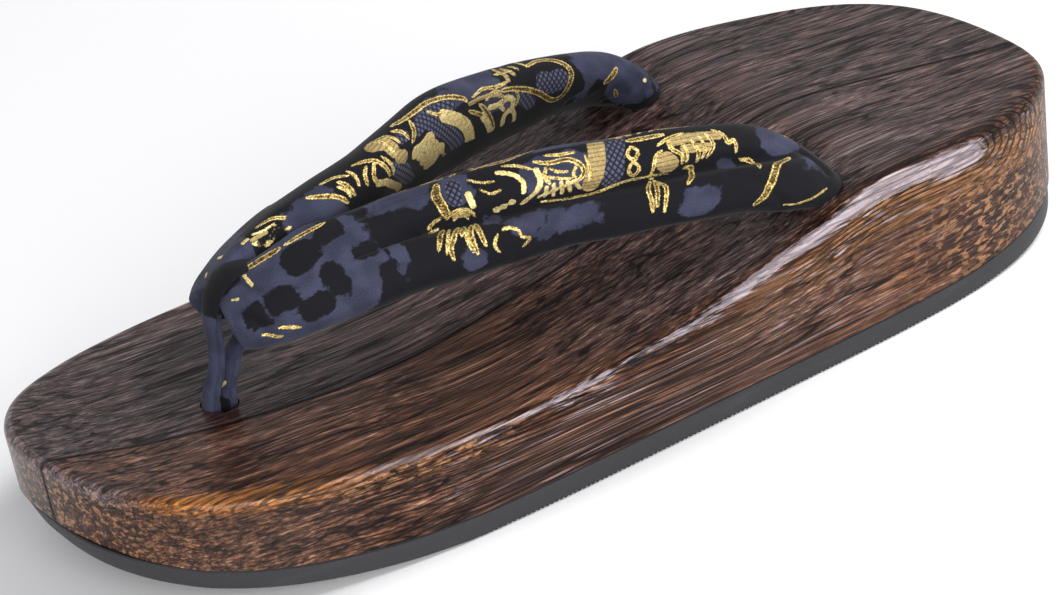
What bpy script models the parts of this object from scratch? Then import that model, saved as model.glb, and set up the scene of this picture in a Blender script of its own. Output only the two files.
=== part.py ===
# Geta sandal: a wooden base glued from two planks, a rubber outsole, padded cloth straps and a toe thong.
# Metres, +Z up. The toe points to -Y, the origin is on the floor under the middle of the base.

from collections import namedtuple
import math

import bmesh
import bpy
from mathutils import Vector

for old in list(bpy.data.objects):
    bpy.data.objects.remove(old, do_unlink=True)

# The base, seen from above and from the side
base_length = 0.270
base_width = 0.102            # at the foot of the wall
deck_height = 0.0419          # top of the deck at the heel seat, above the floor
toe_spring = 0.0139           # how far the outsole lifts off the floor at the toe
heel_lift = 0.0045            # and at the back of the heel
end_edge_radius = 0.0023      # rounding of the deck's rim at toe and heel
waist_edge_radius = 0.0042    # softer rounding of the rim along the sides
waist_flare = 0.0042          # how far the rim stands out over the foot of the wall at the waist
wall_tuck = 0.0007            # how far the wooden wall leans in towards its foot
glue_line_offset = 0.0070     # the joint of the two planks, off the centre line

# The outsole
sole_thickness = 0.0056
sole_toe_inset = 0.0025       # how far the rubber's lower edge draws in at the toe

# Holes for the cloth, drilled through the planks, each with a knot recess underneath
toe_hole_from_toe = 0.0465
toe_hole_radius = 0.0055
heel_hole_from_heel = 0.0800
heel_hole_spacing = 0.0660
heel_hole_radius = 0.0065
knot_recess_radius = 0.0095
knot_recess_depth = 0.0090

# The straps
strap_width = 0.0232          # across both padded rolls
strap_thickness = 0.0130
strap_rise = 0.0290           # height of the strap's middle above the deck, at its highest
strap_pinch = 0.0022          # depth of the crease between the two rolls, on each face
tail_sink = 0.0045            # how far below the deck the cloth tails close up into one plug

# The toe thong
thong_width = 0.0088
thong_thickness = 0.0040
thong_rise = 0.0312           # height of the loop's top above the deck at the toe hole

fit_gap = 0.0003              # between pieces that touch

# How fine the round pieces are cut
outline_steps = 44            # along each side of the base
rim_steps = 4
section_points = 28
strap_steps = 40
thong_steps = 34
turned_steps = 24

# Deck and underside along the base: along runs from -1 at the toe to +1 at the heel, height is a share of
# deck_height, waist blends the rim's rounding from end_edge_radius to waist_edge_radius, flare is a share of
# waist_flare
DeckStation = namedtuple("DeckStation", "along height waist flare")
deck_profile = [
    DeckStation(along=-1.00, height=0.832, waist=0.0, flare=0.0),
    DeckStation(along=-0.81, height=0.721, waist=0.0, flare=0.0),
    DeckStation(along=-0.59, height=0.655, waist=0.3, flare=0.05),
    DeckStation(along=-0.33, height=0.609, waist=0.8, flare=0.30),
    DeckStation(along=-0.03, height=0.690, waist=1.0, flare=0.85),
    DeckStation(along=0.12, height=0.772, waist=1.0, flare=1.00),
    DeckStation(along=0.26, height=0.856, waist=0.9, flare=0.80),
    DeckStation(along=0.50, height=1.000, waist=0.3, flare=0.12),
    DeckStation(along=0.74, height=0.936, waist=0.0, flare=0.0),
    DeckStation(along=1.00, height=0.868, waist=0.0, flare=0.0),
]

# Lift of the underside: toe is a share of toe_spring, heel of heel_lift
LiftStation = namedtuple("LiftStation", "along toe heel")
lift_profile = [
    LiftStation(along=-1.00, toe=1.00, heel=0.0),
    LiftStation(along=-0.85, toe=0.52, heel=0.0),
    LiftStation(along=-0.67, toe=0.21, heel=0.0),
    LiftStation(along=-0.50, toe=0.05, heel=0.0),
    LiftStation(along=-0.36, toe=0.00, heel=0.0),
    LiftStation(along=0.62, toe=0.00, heel=0.0),
    LiftStation(along=0.80, toe=0.00, heel=0.22),
    LiftStation(along=1.00, toe=0.00, heel=1.0),
]

# Roundness of the outline: a higher number is squarer. Its heel half is a little narrower.
OutlineShape = namedtuple("OutlineShape", "lengthways crossways")
toe_shape = OutlineShape(lengthways=3.4, crossways=2.6)
heel_shape = OutlineShape(lengthways=5.6, crossways=2.35)
heel_narrowing = 0.04

# One strap from its nose to its heel end: along is a share of the run from toe hole to heel hole, out of half
# the heel holes' spacing, rise of strap_rise, width and thick of the strap's section, tilt in degrees, outer
# roll down
StrapStation = namedtuple("StrapStation", "along out rise width thick tilt")
strap_path = [
    StrapStation(along=0.045, out=0.10, rise=0.70, width=0.46, thick=0.66, tilt=36),
    StrapStation(along=0.075, out=0.18, rise=0.79, width=0.70, thick=0.78, tilt=35),
    StrapStation(along=0.125, out=0.26, rise=0.88, width=0.88, thick=0.86, tilt=33),
    StrapStation(along=0.200, out=0.30, rise=0.95, width=1.00, thick=0.96, tilt=33),
    StrapStation(along=0.340, out=0.40, rise=1.00, width=1.00, thick=1.04, tilt=42),
    StrapStation(along=0.515, out=0.64, rise=0.98, width=0.98, thick=1.02, tilt=64),
    StrapStation(along=0.690, out=0.88, rise=0.80, width=0.94, thick=0.94, tilt=60),
    StrapStation(along=0.845, out=1.05, rise=0.54, width=0.93, thick=0.88, tilt=40),
    StrapStation(along=0.930, out=1.10, rise=0.31, width=0.90, thick=0.86, tilt=28),
    StrapStation(along=0.985, out=1.08, rise=0.12, width=0.80, thick=0.80, tilt=20),
    StrapStation(along=1.022, out=1.04, rise=-0.06, width=0.66, thick=0.66, tilt=12),
]

# The thong's loop, from the toe hole up in front of the straps' nose, over it and down behind it: back is a
# share of thong_rise, towards the heel, rise of thong_rise, broad and thick of the thong's section
ThongStation = namedtuple("ThongStation", "back rise broad thick")
thong_path = [
    ThongStation(back=-0.035, rise=0.16, broad=0.60, thick=0.90),
    ThongStation(back=0.045, rise=0.31, broad=0.66, thick=0.95),
    ThongStation(back=0.120, rise=0.55, broad=0.82, thick=1.00),
    ThongStation(back=0.130, rise=0.73, broad=0.92, thick=1.00),
    ThongStation(back=0.200, rise=0.90, broad=1.00, thick=1.00),
    ThongStation(back=0.330, rise=1.00, broad=1.00, thick=1.00),
    ThongStation(back=0.460, rise=0.92, broad=0.94, thick=1.00),
    ThongStation(back=0.510, rise=0.74, broad=0.86, thick=1.00),
    ThongStation(back=0.450, rise=0.52, broad=0.80, thick=1.00),
    ThongStation(back=0.290, rise=0.38, broad=0.76, thick=0.98),
    ThongStation(back=0.170, rise=0.26, broad=0.70, thick=0.95),
    ThongStation(back=0.120, rise=0.14, broad=0.62, thick=0.90),
]

half_length = base_length / 2
half_width = base_width / 2
toe_hole_y = toe_hole_from_toe - half_length
heel_hole_y = half_length - heel_hole_from_heel
heel_hole_x = heel_hole_spacing / 2


def read_table(table, column, at):
    """Value of a table's column at a place between its rows, on a smooth curve that never overshoots."""
    places = [row.along for row in table]
    values = [getattr(row, column) for row in table]
    at = min(max(at, places[0]), places[-1])
    rises = [(values[i + 1] - values[i]) / (places[i + 1] - places[i]) for i in range(len(table) - 1)]
    i = 0
    while i < len(rises) - 1 and at > places[i + 1]:
        i += 1

    def slope(k):
        if k == 0 or k == len(rises):
            return rises[min(k, len(rises) - 1)]
        before, after = rises[k - 1], rises[k]
        if before * after <= 0:
            return 0.0
        return 2 * before * after / (before + after)

    step = places[i + 1] - places[i]
    t = (at - places[i]) / step
    start = values[i] * (2 * t ** 3 - 3 * t ** 2 + 1) + slope(i) * step * (t ** 3 - 2 * t ** 2 + t)
    end = values[i + 1] * (3 * t ** 2 - 2 * t ** 3) + slope(i + 1) * step * (t ** 3 - t ** 2)
    return start + end


def deck_at(y):
    """Height of the deck above the floor."""
    return deck_height * read_table(deck_profile, "height", y / half_length)


def rim_radius_at(y):
    """Rounding of the deck's rim."""
    waist = read_table(deck_profile, "waist", y / half_length)
    return end_edge_radius + (waist_edge_radius - end_edge_radius) * waist


def rim_flare_at(y):
    """How far the rim stands out beyond the outline."""
    return waist_flare * read_table(deck_profile, "flare", y / half_length)


def sole_bottom_at(y):
    """Height of the outsole's underside above the floor."""
    along = y / half_length
    return toe_spring * read_table(lift_profile, "toe", along) + heel_lift * read_table(lift_profile, "heel", along)


def wood_bottom_at(y):
    """Height of the planks' underside."""
    return sole_bottom_at(y) + sole_thickness + fit_gap


def outline_side():
    """The base's +X side from toe tip to heel tip, as places and outward normals at even steps."""
    fine = 600
    dense = []
    for i in range(fine + 1):
        angle = -math.pi / 2 + math.pi * i / fine
        shape = toe_shape if angle < 0 else heel_shape
        across = abs(math.cos(angle)) ** (2 / shape.crossways) if 0 < i < fine else 0.0
        along = math.copysign(abs(math.sin(angle)) ** (2 / shape.lengthways), angle)
        dense.append(Vector((half_width * across * (1 - heel_narrowing * along), half_length * along)))
    reach = [0.0]
    for a, b in zip(dense, dense[1:]):
        reach.append(reach[-1] + (b - a).length)
    places = []
    k = 0
    for i in range(outline_steps + 1):
        target = reach[-1] * i / outline_steps
        while k < fine - 1 and reach[k + 1] < target:
            k += 1
        share = (target - reach[k]) / (reach[k + 1] - reach[k])
        places.append(dense[k].lerp(dense[k + 1], min(max(share, 0.0), 1.0)))
    normals = []
    for i, place in enumerate(places):
        before = places[i - 1] if i else Vector((-places[1].x, places[1].y))
        after = places[i + 1] if i < outline_steps else Vector((-places[i - 1].x, places[i - 1].y))
        run = (after - before).normalized()
        normals.append(Vector((run.y, -run.x)))
    return list(zip(places, normals))


def add_object(name, mesh_data, material=None):
    """A named object with the mesh in mesh_data and its own material."""
    bmesh.ops.recalc_face_normals(mesh_data, faces=mesh_data.faces)
    mesh = bpy.data.meshes.new(name)
    mesh_data.to_mesh(mesh)
    mesh_data.free()
    obj = bpy.data.objects.new(name, mesh)
    bpy.context.scene.collection.objects.link(obj)
    mesh.shade_smooth()
    mesh.set_sharp_from_angle(angle=math.radians(35))
    if material:
        mesh.materials.append(material)
    return obj


def make_material(name, colour, roughness, metallic=0.0):
    """A plain Principled material."""
    material = bpy.data.materials.new(name)
    material.use_nodes = True
    shader = material.node_tree.nodes["Principled BSDF"]
    shader.inputs["Base Color"].default_value = (*colour, 1.0)
    shader.inputs["Roughness"].default_value = roughness
    shader.inputs["Metallic"].default_value = metallic
    return material


def slab(levels):
    """A closed slab on the base's outline. Each level gives its inset and height as functions of y."""
    data = bmesh.new()
    side = outline_side()
    rings = []
    for inset_at, height_at in levels:
        right = []
        for place, normal in side:
            flat = place - normal * inset_at(place.y)
            right.append(Vector((flat.x, flat.y, height_at(flat.y, place.y))))
        right[0].x = right[-1].x = 0.0
        left = [Vector((-p.x, p.y, p.z)) for p in right[1:-1]]
        rings.append(([data.verts.new(p) for p in right], [data.verts.new(p) for p in left]))
    for (right_a, left_a), (right_b, left_b) in zip(rings, rings[1:]):
        loop_a = right_a + left_a[::-1]
        loop_b = right_b + left_b[::-1]
        count = len(loop_a)
        for i in range(count):
            j = (i + 1) % count
            data.faces.new((loop_a[i], loop_a[j], loop_b[j], loop_b[i]))
    for right, left in (rings[0], rings[-1]):
        data.faces.new((right[0], right[1], left[0]))
        for i in range(1, len(right) - 2):
            data.faces.new((right[i], right[i + 1], left[i], left[i - 1]))
        data.faces.new((right[-1], left[-1], right[-2]))
    return data


def rim_levels():
    """The levels of the wooden block: its foot, its wall, and the rounded rim up to the deck."""
    levels = [(lambda y: wall_tuck, lambda y, wall_y: wood_bottom_at(y))]
    for step in range(rim_steps + 1):
        turn = math.pi / 2 * step / rim_steps

        def inset_at(y, turn=turn):
            return rim_radius_at(y) * (1 - math.cos(turn)) - rim_flare_at(y)

        def height_at(y, wall_y, turn=turn):
            return deck_at(y) - rim_radius_at(wall_y) * (1 - math.sin(turn))

        levels.append((inset_at, height_at))
    return levels


def turned(rings):
    """A closed turned solid about +Z from (radius, height) rings, lowest first."""
    data = bmesh.new()
    circles = []
    for radius, height in rings:
        circle = []
        for i in range(turned_steps):
            angle = 2 * math.pi * i / turned_steps
            circle.append(data.verts.new((radius * math.cos(angle), radius * math.sin(angle), height)))
        circles.append(circle)
    for low, high in zip(circles, circles[1:]):
        for i in range(turned_steps):
            j = (i + 1) % turned_steps
            data.faces.new((low[i], low[j], high[j], high[i]))
    data.faces.new(circles[0][::-1])
    data.faces.new(circles[-1])
    return data


def loft(sections):
    """A closed loft through rings of points with flat ends."""
    data = bmesh.new()
    rings = [[data.verts.new(p) for p in section] for section in sections]
    count = len(rings[0])
    for a, b in zip(rings, rings[1:]):
        for i in range(count):
            j = (i + 1) % count
            data.faces.new((a[i], a[j], b[j], b[i]))
    data.faces.new(rings[0][::-1])
    data.faces.new(rings[-1])
    return data


def helper(name, mesh_data, location=(0, 0, 0)):
    """A cutter or a piece that a Boolean joins on: it isn't part of the model by itself."""
    obj = add_object(name, mesh_data)
    obj.location = location
    obj.hide_render = True
    obj.display_type = "WIRE"
    return obj


def boolean(obj, other, operation):
    """Cut obj by other, or join other on to it."""
    modifier = obj.modifiers.new(operation.title() + " " + other.name, "BOOLEAN")
    modifier.operation = operation
    modifier.object = other
    modifier.solver = "EXACT"


def drill(name, x, y, radius):
    """The hole and its knot recess."""
    bottom = wood_bottom_at(y)
    above = deck_height
    rings = [
        (knot_recess_radius, bottom - sole_thickness / 2),
        (knot_recess_radius, bottom + knot_recess_depth),
        (radius, bottom + knot_recess_depth),
        (radius, deck_at(y) + above),
    ]
    return helper(name, turned(rings), (x, y, 0))


def tail_rings(y, radius, top):
    """A cloth tail that fills its hole up to top, with a knot in the recess, clear of wood and rubber."""
    floor = max(sole_bottom_at(y - knot_recess_radius), sole_bottom_at(y + knot_recess_radius), sole_bottom_at(y))
    low = floor + sole_thickness + fit_gap
    high = wood_bottom_at(y) + knot_recess_depth - fit_gap
    knot_radius = knot_recess_radius - fit_gap
    tail_radius = radius - fit_gap
    corner = (high - low) * 0.3
    return [
        (knot_radius - corner, low),
        (knot_radius, low + corner),
        (knot_radius, high - corner),
        (knot_radius - corner, high),
        (tail_radius, high),
        (tail_radius, top),
    ]


def roll_section(half_wide, half_thick, pinch):
    """Outline of two padded rolls side by side, with a crease between them on each face."""
    points = []
    for i in range(section_points):
        angle = 2 * math.pi * i / section_points
        wide = half_wide * math.copysign(abs(math.cos(angle)) ** 0.92, math.cos(angle))
        hollow = pinch * math.exp(-(wide / (half_wide * 0.22)) ** 2)
        thick = (half_thick * abs(math.sin(angle)) ** 0.8 - hollow * abs(math.sin(angle)))
        points.append((wide, math.copysign(thick, math.sin(angle))))
    return points


def strap_middle(at):
    """Middle of the +X strap."""
    y = toe_hole_y + (heel_hole_y - toe_hole_y) * at
    x = heel_hole_x * read_table(strap_path, "out", at)
    return Vector((x, y, deck_at(y) + strap_rise * read_table(strap_path, "rise", at)))


def strap_sections(side):
    """Rings of one strap, nose first. side is +1 or -1. Where it comes down it lies flat on the deck."""
    first = strap_path[0].along
    last = strap_path[-1].along
    sections = []
    for i in range(strap_steps + 1):
        at = first + (last - first) * (0.5 - 0.5 * math.cos(math.pi * i / strap_steps))
        step = 0.01
        run = (strap_middle(min(at + step, last)) - strap_middle(max(at - step, first))).normalized()
        outward = Vector((run.y, -run.x, 0)).normalized()
        upward = outward.cross(run)
        tilt = math.radians(read_table(strap_path, "tilt", at))
        wide_way = outward * math.cos(tilt) - upward * math.sin(tilt)
        thick_way = outward * math.sin(tilt) + upward * math.cos(tilt)
        from_end = min(min(i, strap_steps - i) / 2, 1.0)
        close = max(math.sqrt(1 - (1 - from_end) ** 2), 0.35)
        half_wide = strap_width / 2 * read_table(strap_path, "width", at) * close
        half_thick = strap_thickness / 2 * read_table(strap_path, "thick", at) * close
        ring = []
        for wide, thick in roll_section(half_wide, half_thick, strap_pinch * close):
            point = strap_middle(at) + wide_way * wide + thick_way * thick
            point.z = max(point.z, deck_at(point.y) + fit_gap)
            ring.append(Vector((side * point.x, point.y, point.z)))
        sections.append(ring if side > 0 else ring[::-1])
    return sections


def thong_middle(path, at):
    """Middle of the thong's loop. at counts the path's points, with a smooth curve between them."""
    i = min(int(at), len(path) - 2)
    t = at - i
    before = path[max(i - 1, 0)]
    after = path[min(i + 2, len(path) - 1)]
    a, b = path[i], path[i + 1]
    return 0.5 * (2 * a + (b - before) * t + (2 * before - 5 * a + 4 * b - after) * t ** 2
                  + (3 * a - before - 3 * b + after) * t ** 3)


def thong_sections(grow):
    """Rings of the toe thong's loop, swollen by grow for the slot that it cuts in the straps."""
    deck = deck_at(toe_hole_y)
    tail_radius = toe_hole_radius - fit_gap
    leg_back = tail_radius / 2
    leg_thick = tail_radius * 0.46
    leg_broad = tail_radius * 0.55
    # each point holds y, z, half its breadth and half its thickness
    start = [Vector((-leg_back, deck - tail_sink * 1.5, leg_broad, leg_thick)),
             Vector((-leg_back, deck, leg_broad, leg_thick))]
    end = [Vector((leg_back, p[1], p[2], p[3])) for p in start[::-1]]
    middle = [Vector((row.back * thong_rise, deck + row.rise * thong_rise,
                      row.broad * thong_width / 2, row.thick * thong_thickness / 2)) for row in thong_path]
    path = start + middle + end
    sections = []
    for i in range(thong_steps * 2 + 1):
        at = (len(path) - 1) * i / (thong_steps * 2)
        step = 0.05
        place = thong_middle(path, at)
        ahead = thong_middle(path, min(at + step, len(path) - 1))
        behind = thong_middle(path, max(at - step, 0))
        run = Vector((0, ahead[0] - behind[0], ahead[1] - behind[1])).normalized()
        outward = Vector((0, run.z, -run.y))
        ring = []
        for k in range(section_points // 2):
            angle = 4 * math.pi * k / section_points
            broad = (place[2] + grow) * math.cos(angle)
            thick = (place[3] + grow) * math.sin(angle)
            ring.append(Vector((broad, toe_hole_y + place[0], place[1])) + outward * thick)
        sections.append(ring)
    return sections


# The wooden block, split along the glue line into two planks
wood = make_material("scorched wood", (0.16, 0.085, 0.05), 0.35)
wood_light = make_material("scorched wood, light plank", (0.20, 0.11, 0.06), 0.35)
drills = [
    drill("toe hole", 0, toe_hole_y, toe_hole_radius),
    drill("heel hole far", -heel_hole_x, heel_hole_y, heel_hole_radius),
    drill("heel hole near", heel_hole_x, heel_hole_y, heel_hole_radius),
]
for plank_name, side, plank_material in (("plank_wide", -1, wood), ("plank_narrow", 1, wood_light)):
    plank_data = slab(rim_levels())
    cut_x = glue_line_offset + side * fit_gap / 2
    everything = plank_data.verts[:] + plank_data.edges[:] + plank_data.faces[:]
    cut = bmesh.ops.bisect_plane(plank_data, geom=everything, plane_co=(cut_x, 0, 0),
                                 plane_no=(-side, 0, 0), clear_outer=True)
    cut_edges = [e for e in cut["geom_cut"] if isinstance(e, bmesh.types.BMEdge)]
    bmesh.ops.edgeloop_fill(plank_data, edges=cut_edges)
    plank = add_object(plank_name, plank_data, plank_material)
    for cutter in drills:
        boolean(plank, cutter, "DIFFERENCE")

# The rubber outsole, drawn in at the toe where it curls up
rubber = make_material("grey rubber", (0.05, 0.05, 0.055), 0.75)


def toe_inset_at(y):
    """How far the rubber's lower edge draws in: nothing behind the ball, all of it at the toe."""
    share = min(max((-y / half_length - 0.45) / 0.45, 0.0), 1.0)
    return wall_tuck + sole_toe_inset * share


sole_levels = [
    (toe_inset_at, lambda y, wall_y: sole_bottom_at(y)),
    (lambda y: wall_tuck, lambda y, wall_y: sole_bottom_at(y) + sole_thickness),
]
add_object("outsole", slab(sole_levels), rubber)

# The toe thong: a loop whose two legs run together into a tail with a knot
brocade = make_material("dark blue brocade", (0.02, 0.022, 0.035), 0.8)
thong = add_object("toe_thong", loft(thong_sections(0.0)), brocade)
thong_tail = tail_rings(toe_hole_y, toe_hole_radius, deck_at(toe_hole_y) - tail_sink)
boolean(thong, helper("thong tail", turned(thong_tail), (0, toe_hole_y, 0)), "UNION")

# The straps: two padded lengths joined along the centre line, with a tail and a knot at each heel end
straps = add_object("straps", loft(strap_sections(1)), make_material("gold brocade", (0.05, 0.05, 0.06), 0.8))
boolean(straps, helper("far strap", loft(strap_sections(-1))), "UNION")
for tail_name, side in (("near tail", 1), ("far tail", -1)):
    tail_top = deck_at(heel_hole_y) + strap_thickness / 4
    tail = turned(tail_rings(heel_hole_y, heel_hole_radius, tail_top))
    boolean(straps, helper(tail_name, tail, (side * heel_hole_x, heel_hole_y, 0)), "UNION")
boolean(straps, helper("thong slot", loft(thong_sections(fit_gap))), "DIFFERENCE")
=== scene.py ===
import math

import bpy
import numpy as np
from mathutils import Matrix, Vector


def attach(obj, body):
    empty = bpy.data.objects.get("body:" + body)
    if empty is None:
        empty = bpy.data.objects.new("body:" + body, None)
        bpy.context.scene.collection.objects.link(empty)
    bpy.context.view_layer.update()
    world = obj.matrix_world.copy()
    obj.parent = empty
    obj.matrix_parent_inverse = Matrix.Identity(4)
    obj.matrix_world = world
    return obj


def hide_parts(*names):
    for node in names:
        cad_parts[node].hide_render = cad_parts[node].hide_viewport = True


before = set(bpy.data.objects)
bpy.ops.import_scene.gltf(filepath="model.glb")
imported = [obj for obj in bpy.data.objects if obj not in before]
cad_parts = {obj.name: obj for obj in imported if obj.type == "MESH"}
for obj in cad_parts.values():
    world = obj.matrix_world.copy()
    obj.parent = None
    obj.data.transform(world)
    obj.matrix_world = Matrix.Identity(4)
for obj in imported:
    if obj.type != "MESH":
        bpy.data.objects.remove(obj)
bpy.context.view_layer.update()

# A geta: two scorched planks on a rubber sole, two padded brocade straps and a cloth toe thong.
# Metres. The toe points to -Y, the heel to +Y, and +X is the side that the camera sees.
bpy.ops.object.select_all(action="DESELECT")

base = {
    "length": 0.270,
    "width": 0.102,               # at the foot of the wall
    "deckHeight": 0.0419,
    "toeSpring": 0.0139,
    "heelLift": 0.0045,
    "endEdgeRadius": 0.0023,
    "waistEdgeRadius": 0.0042,
    "waistFlare": 0.0042,
    "wallTuck": 0.0007,
    "glueLine": 0.0070,
    "soleThickness": 0.0056,
    "soleToeInset": 0.0025,
    "toeShape": (3.4, 2.6),       # roundness lengthways and crossways, higher is squarer
    "heelShape": (5.6, 2.35),
    "heelNarrowing": 0.04,
    "fitGap": 0.0003,
    "outlinePoints": 6001,
    # place along the base, deck height, rounding towards the waist's, flare
    "deckProfile": [(-1.00, 0.832, 0.0, 0.0), (-0.81, 0.721, 0.0, 0.0), (-0.59, 0.655, 0.3, 0.05),
                    (-0.33, 0.609, 0.8, 0.30), (-0.03, 0.690, 1.0, 0.85), (0.12, 0.772, 1.0, 1.00),
                    (0.26, 0.856, 0.9, 0.80), (0.50, 1.000, 0.3, 0.12), (0.74, 0.936, 0.0, 0.0),
                    (1.00, 0.868, 0.0, 0.0)],
    # place along the base, share of the toe spring, share of the heel lift
    "liftProfile": [(-1.00, 1.00, 0.0), (-0.85, 0.52, 0.0), (-0.67, 0.21, 0.0), (-0.50, 0.05, 0.0),
                    (-0.36, 0.00, 0.0), (0.62, 0.00, 0.0), (0.80, 0.00, 0.22), (1.00, 0.00, 1.0)],
}
halfLength = base["length"] / 2
halfWidth = base["width"] / 2
toeHoleY = 0.0465 - halfLength
heelHoleY = halfLength - 0.0800
heelHoleX = 0.0330


def smoothCurve(rows, column, at):
    # a table's column read between its rows, on a curve that never overshoots
    table = np.array(rows, float)
    places, values = table[:, 0], table[:, column]
    at = np.clip(at, places[0], places[-1])
    rises = np.diff(values) / np.diff(places)
    slopes = np.concatenate([rises[:1], np.zeros(len(rises) - 1), rises[-1:]])
    both = rises[:-1] * rises[1:]
    slopes[1:-1] = np.where(both > 0, 2 * both / np.where(both > 0, rises[:-1] + rises[1:], 1), 0)
    i = np.clip(np.searchsorted(places, at) - 1, 0, len(rises) - 1)
    step = places[i + 1] - places[i]
    t = (at - places[i]) / step
    return (values[i] * (2 * t ** 3 - 3 * t ** 2 + 1) + slopes[i] * step * (t ** 3 - 2 * t ** 2 + t)
            + values[i + 1] * (3 * t ** 2 - 2 * t ** 3) + slopes[i + 1] * step * (t ** 3 - t ** 2))


def throughPoints(rows, at):
    # a smooth curve through the rows, at counts them
    last = len(rows) - 1
    i = np.clip(at.astype(int), 0, last - 1)
    t = (at - i)[:, None]
    before, a, b, after = rows[np.maximum(i - 1, 0)], rows[i], rows[i + 1], rows[np.minimum(i + 2, last)]
    return 0.5 * (2 * a + (b - before) * t + (2 * before - 5 * a + 4 * b - after) * t ** 2
                  + (3 * a - before - 3 * b + after) * t ** 3)


def grown(value, begins, full):
    # 0 up to where it begins, 1 from where it's full, straight in between; begins may lie above full
    return np.clip((value - begins) / (full - begins), 0, 1)


def deckAt(y):
    return base["deckHeight"] * smoothCurve(base["deckProfile"], 1, y / halfLength)


def rimRadiusAt(y):
    share = smoothCurve(base["deckProfile"], 2, y / halfLength)
    return base["endEdgeRadius"] + (base["waistEdgeRadius"] - base["endEdgeRadius"]) * share


def rimFlareAt(y):
    return base["waistFlare"] * smoothCurve(base["deckProfile"], 3, y / halfLength)


def soleBottomAt(y):
    along = y / halfLength
    return (base["toeSpring"] * smoothCurve(base["liftProfile"], 1, along)
            + base["heelLift"] * smoothCurve(base["liftProfile"], 2, along))


def woodBottomAt(y):
    return soleBottomAt(y) + base["soleThickness"] + base["fitGap"]


def makeOutline():
    # the base's +X side from toe tip to heel tip: share of the way, x, y, outward normal
    angle = np.linspace(-math.pi / 2, math.pi / 2, base["outlinePoints"])
    toe = angle < 0
    lengthways = np.where(toe, base["toeShape"][0], base["heelShape"][0])
    crossways = np.where(toe, base["toeShape"][1], base["heelShape"][1])
    along = np.sign(angle) * np.abs(np.sin(angle)) ** (2 / lengthways)
    across = np.clip(np.cos(angle), 0, 1) ** (2 / crossways)
    x = halfWidth * across * (1 - base["heelNarrowing"] * along)
    y = halfLength * along
    reach = np.concatenate([[0], np.cumsum(np.hypot(np.diff(x), np.diff(y)))])
    runX, runY = np.gradient(x), np.gradient(y)
    size = np.hypot(runX, runY) + 1e-12
    return reach / reach[-1], x, y, runY / size, -runX / size


outline = makeOutline()


def outlineAt(around):
    # around runs from 0 at the toe tip over the +X side to 0.5 at the heel tip, and back on the -X side
    around = np.mod(around, 1.0)
    side = np.where(around > 0.5, -1.0, 1.0)
    half = 2 * np.where(around > 0.5, 1 - around, around)
    x, y, normalX, normalY = (np.interp(half, outline[0], values) for values in outline[1:])
    size = np.hypot(normalX, normalY)
    return side * x, y, side * normalX / size, normalY / size


def rimPlaces(around, turn):
    # a place on the rounded rim: turn is 90 degrees at the deck's edge and 0 at the top of the wall
    x, y, normalX, normalY = outlineAt(around)
    radius = rimRadiusAt(y)
    inset = radius * (1 - math.cos(turn)) - rimFlareAt(y)
    flatY = y - normalY * inset
    return np.stack([x - normalX * inset, flatY, deckAt(flatY) - radius * (1 - math.sin(turn))], axis=1)


def wallPlaces(around, down):
    # a place on the wooden wall: down is 0 at its top and 1 at its foot
    top = rimPlaces(around, 0.0)
    x, y, normalX, normalY = outlineAt(around)
    inset = base["wallTuck"]
    footY = y - normalY * inset
    foot = np.stack([x - normalX * inset, footY, woodBottomAt(footY)], axis=1)
    return top + (foot - top) * down


def vertexCoords(piece):
    coords = np.empty(len(piece.data.vertices) * 3)
    piece.data.vertices.foreach_get("co", coords)
    return coords.reshape(-1, 3)


def setCoords(piece, coords):
    piece.data.vertices.foreach_set("co", coords.ravel())
    piece.data.update()


def selectedVertices(piece):
    chosen = np.empty(len(piece.data.vertices), bool)
    piece.data.vertices.foreach_get("select", chosen)
    return chosen


def attribute(piece, name):
    # a number kept on each vertex, made where it's missing
    return piece.data.attributes.get(name) or piece.data.attributes.new(name, "FLOAT", "POINT")


def readAttribute(piece, name):
    values = np.empty(len(piece.data.vertices), np.float32)
    attribute(piece, name).data.foreach_get("value", values)
    return values.astype(float)


def writeAttributes(piece, values):
    for name, numbers in values.items():
        attribute(piece, name).data.foreach_set("value", numbers.astype(np.float32))


def chooseOnly(piece):
    bpy.ops.object.select_all(action="DESELECT")
    piece.select_set(True)
    bpy.context.view_layer.objects.active = piece


def editOn(piece):
    chooseOnly(piece)
    bpy.ops.object.mode_set(mode="EDIT")


def editOff():
    bpy.ops.object.mode_set(mode="OBJECT")


def makeGrid(firstSteps, secondSteps):
    # a grid of small faces, and how far each vertex is along its two ways, from 0 to 1
    bpy.ops.mesh.primitive_grid_add(x_subdivisions=firstSteps, y_subdivisions=secondSteps, size=1)
    piece = bpy.context.object
    coords = vertexCoords(piece)
    return piece, coords[:, 0] + 0.5, coords[:, 1] + 0.5


def closeTube(piece):
    # joins a rolled grid's two long edges, closes both its ends and turns its faces outward
    editOn(piece)
    bpy.ops.mesh.select_all(action="SELECT")
    bpy.ops.mesh.remove_doubles(threshold=0.000002)
    bpy.ops.mesh.fill_holes(sides=0)
    bpy.ops.mesh.normals_make_consistent(inside=False)
    editOff()


def extrudeRing(piece, places):
    # extrudes what is selected and sets the new ring where places(around) says
    editOn(piece)
    bpy.ops.mesh.extrude_region_move()
    editOff()
    ring = selectedVertices(piece)
    coords = vertexCoords(piece)
    coords[ring] = places(readAttribute(piece, "around")[ring])
    setCoords(piece, coords)
    return ring


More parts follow.
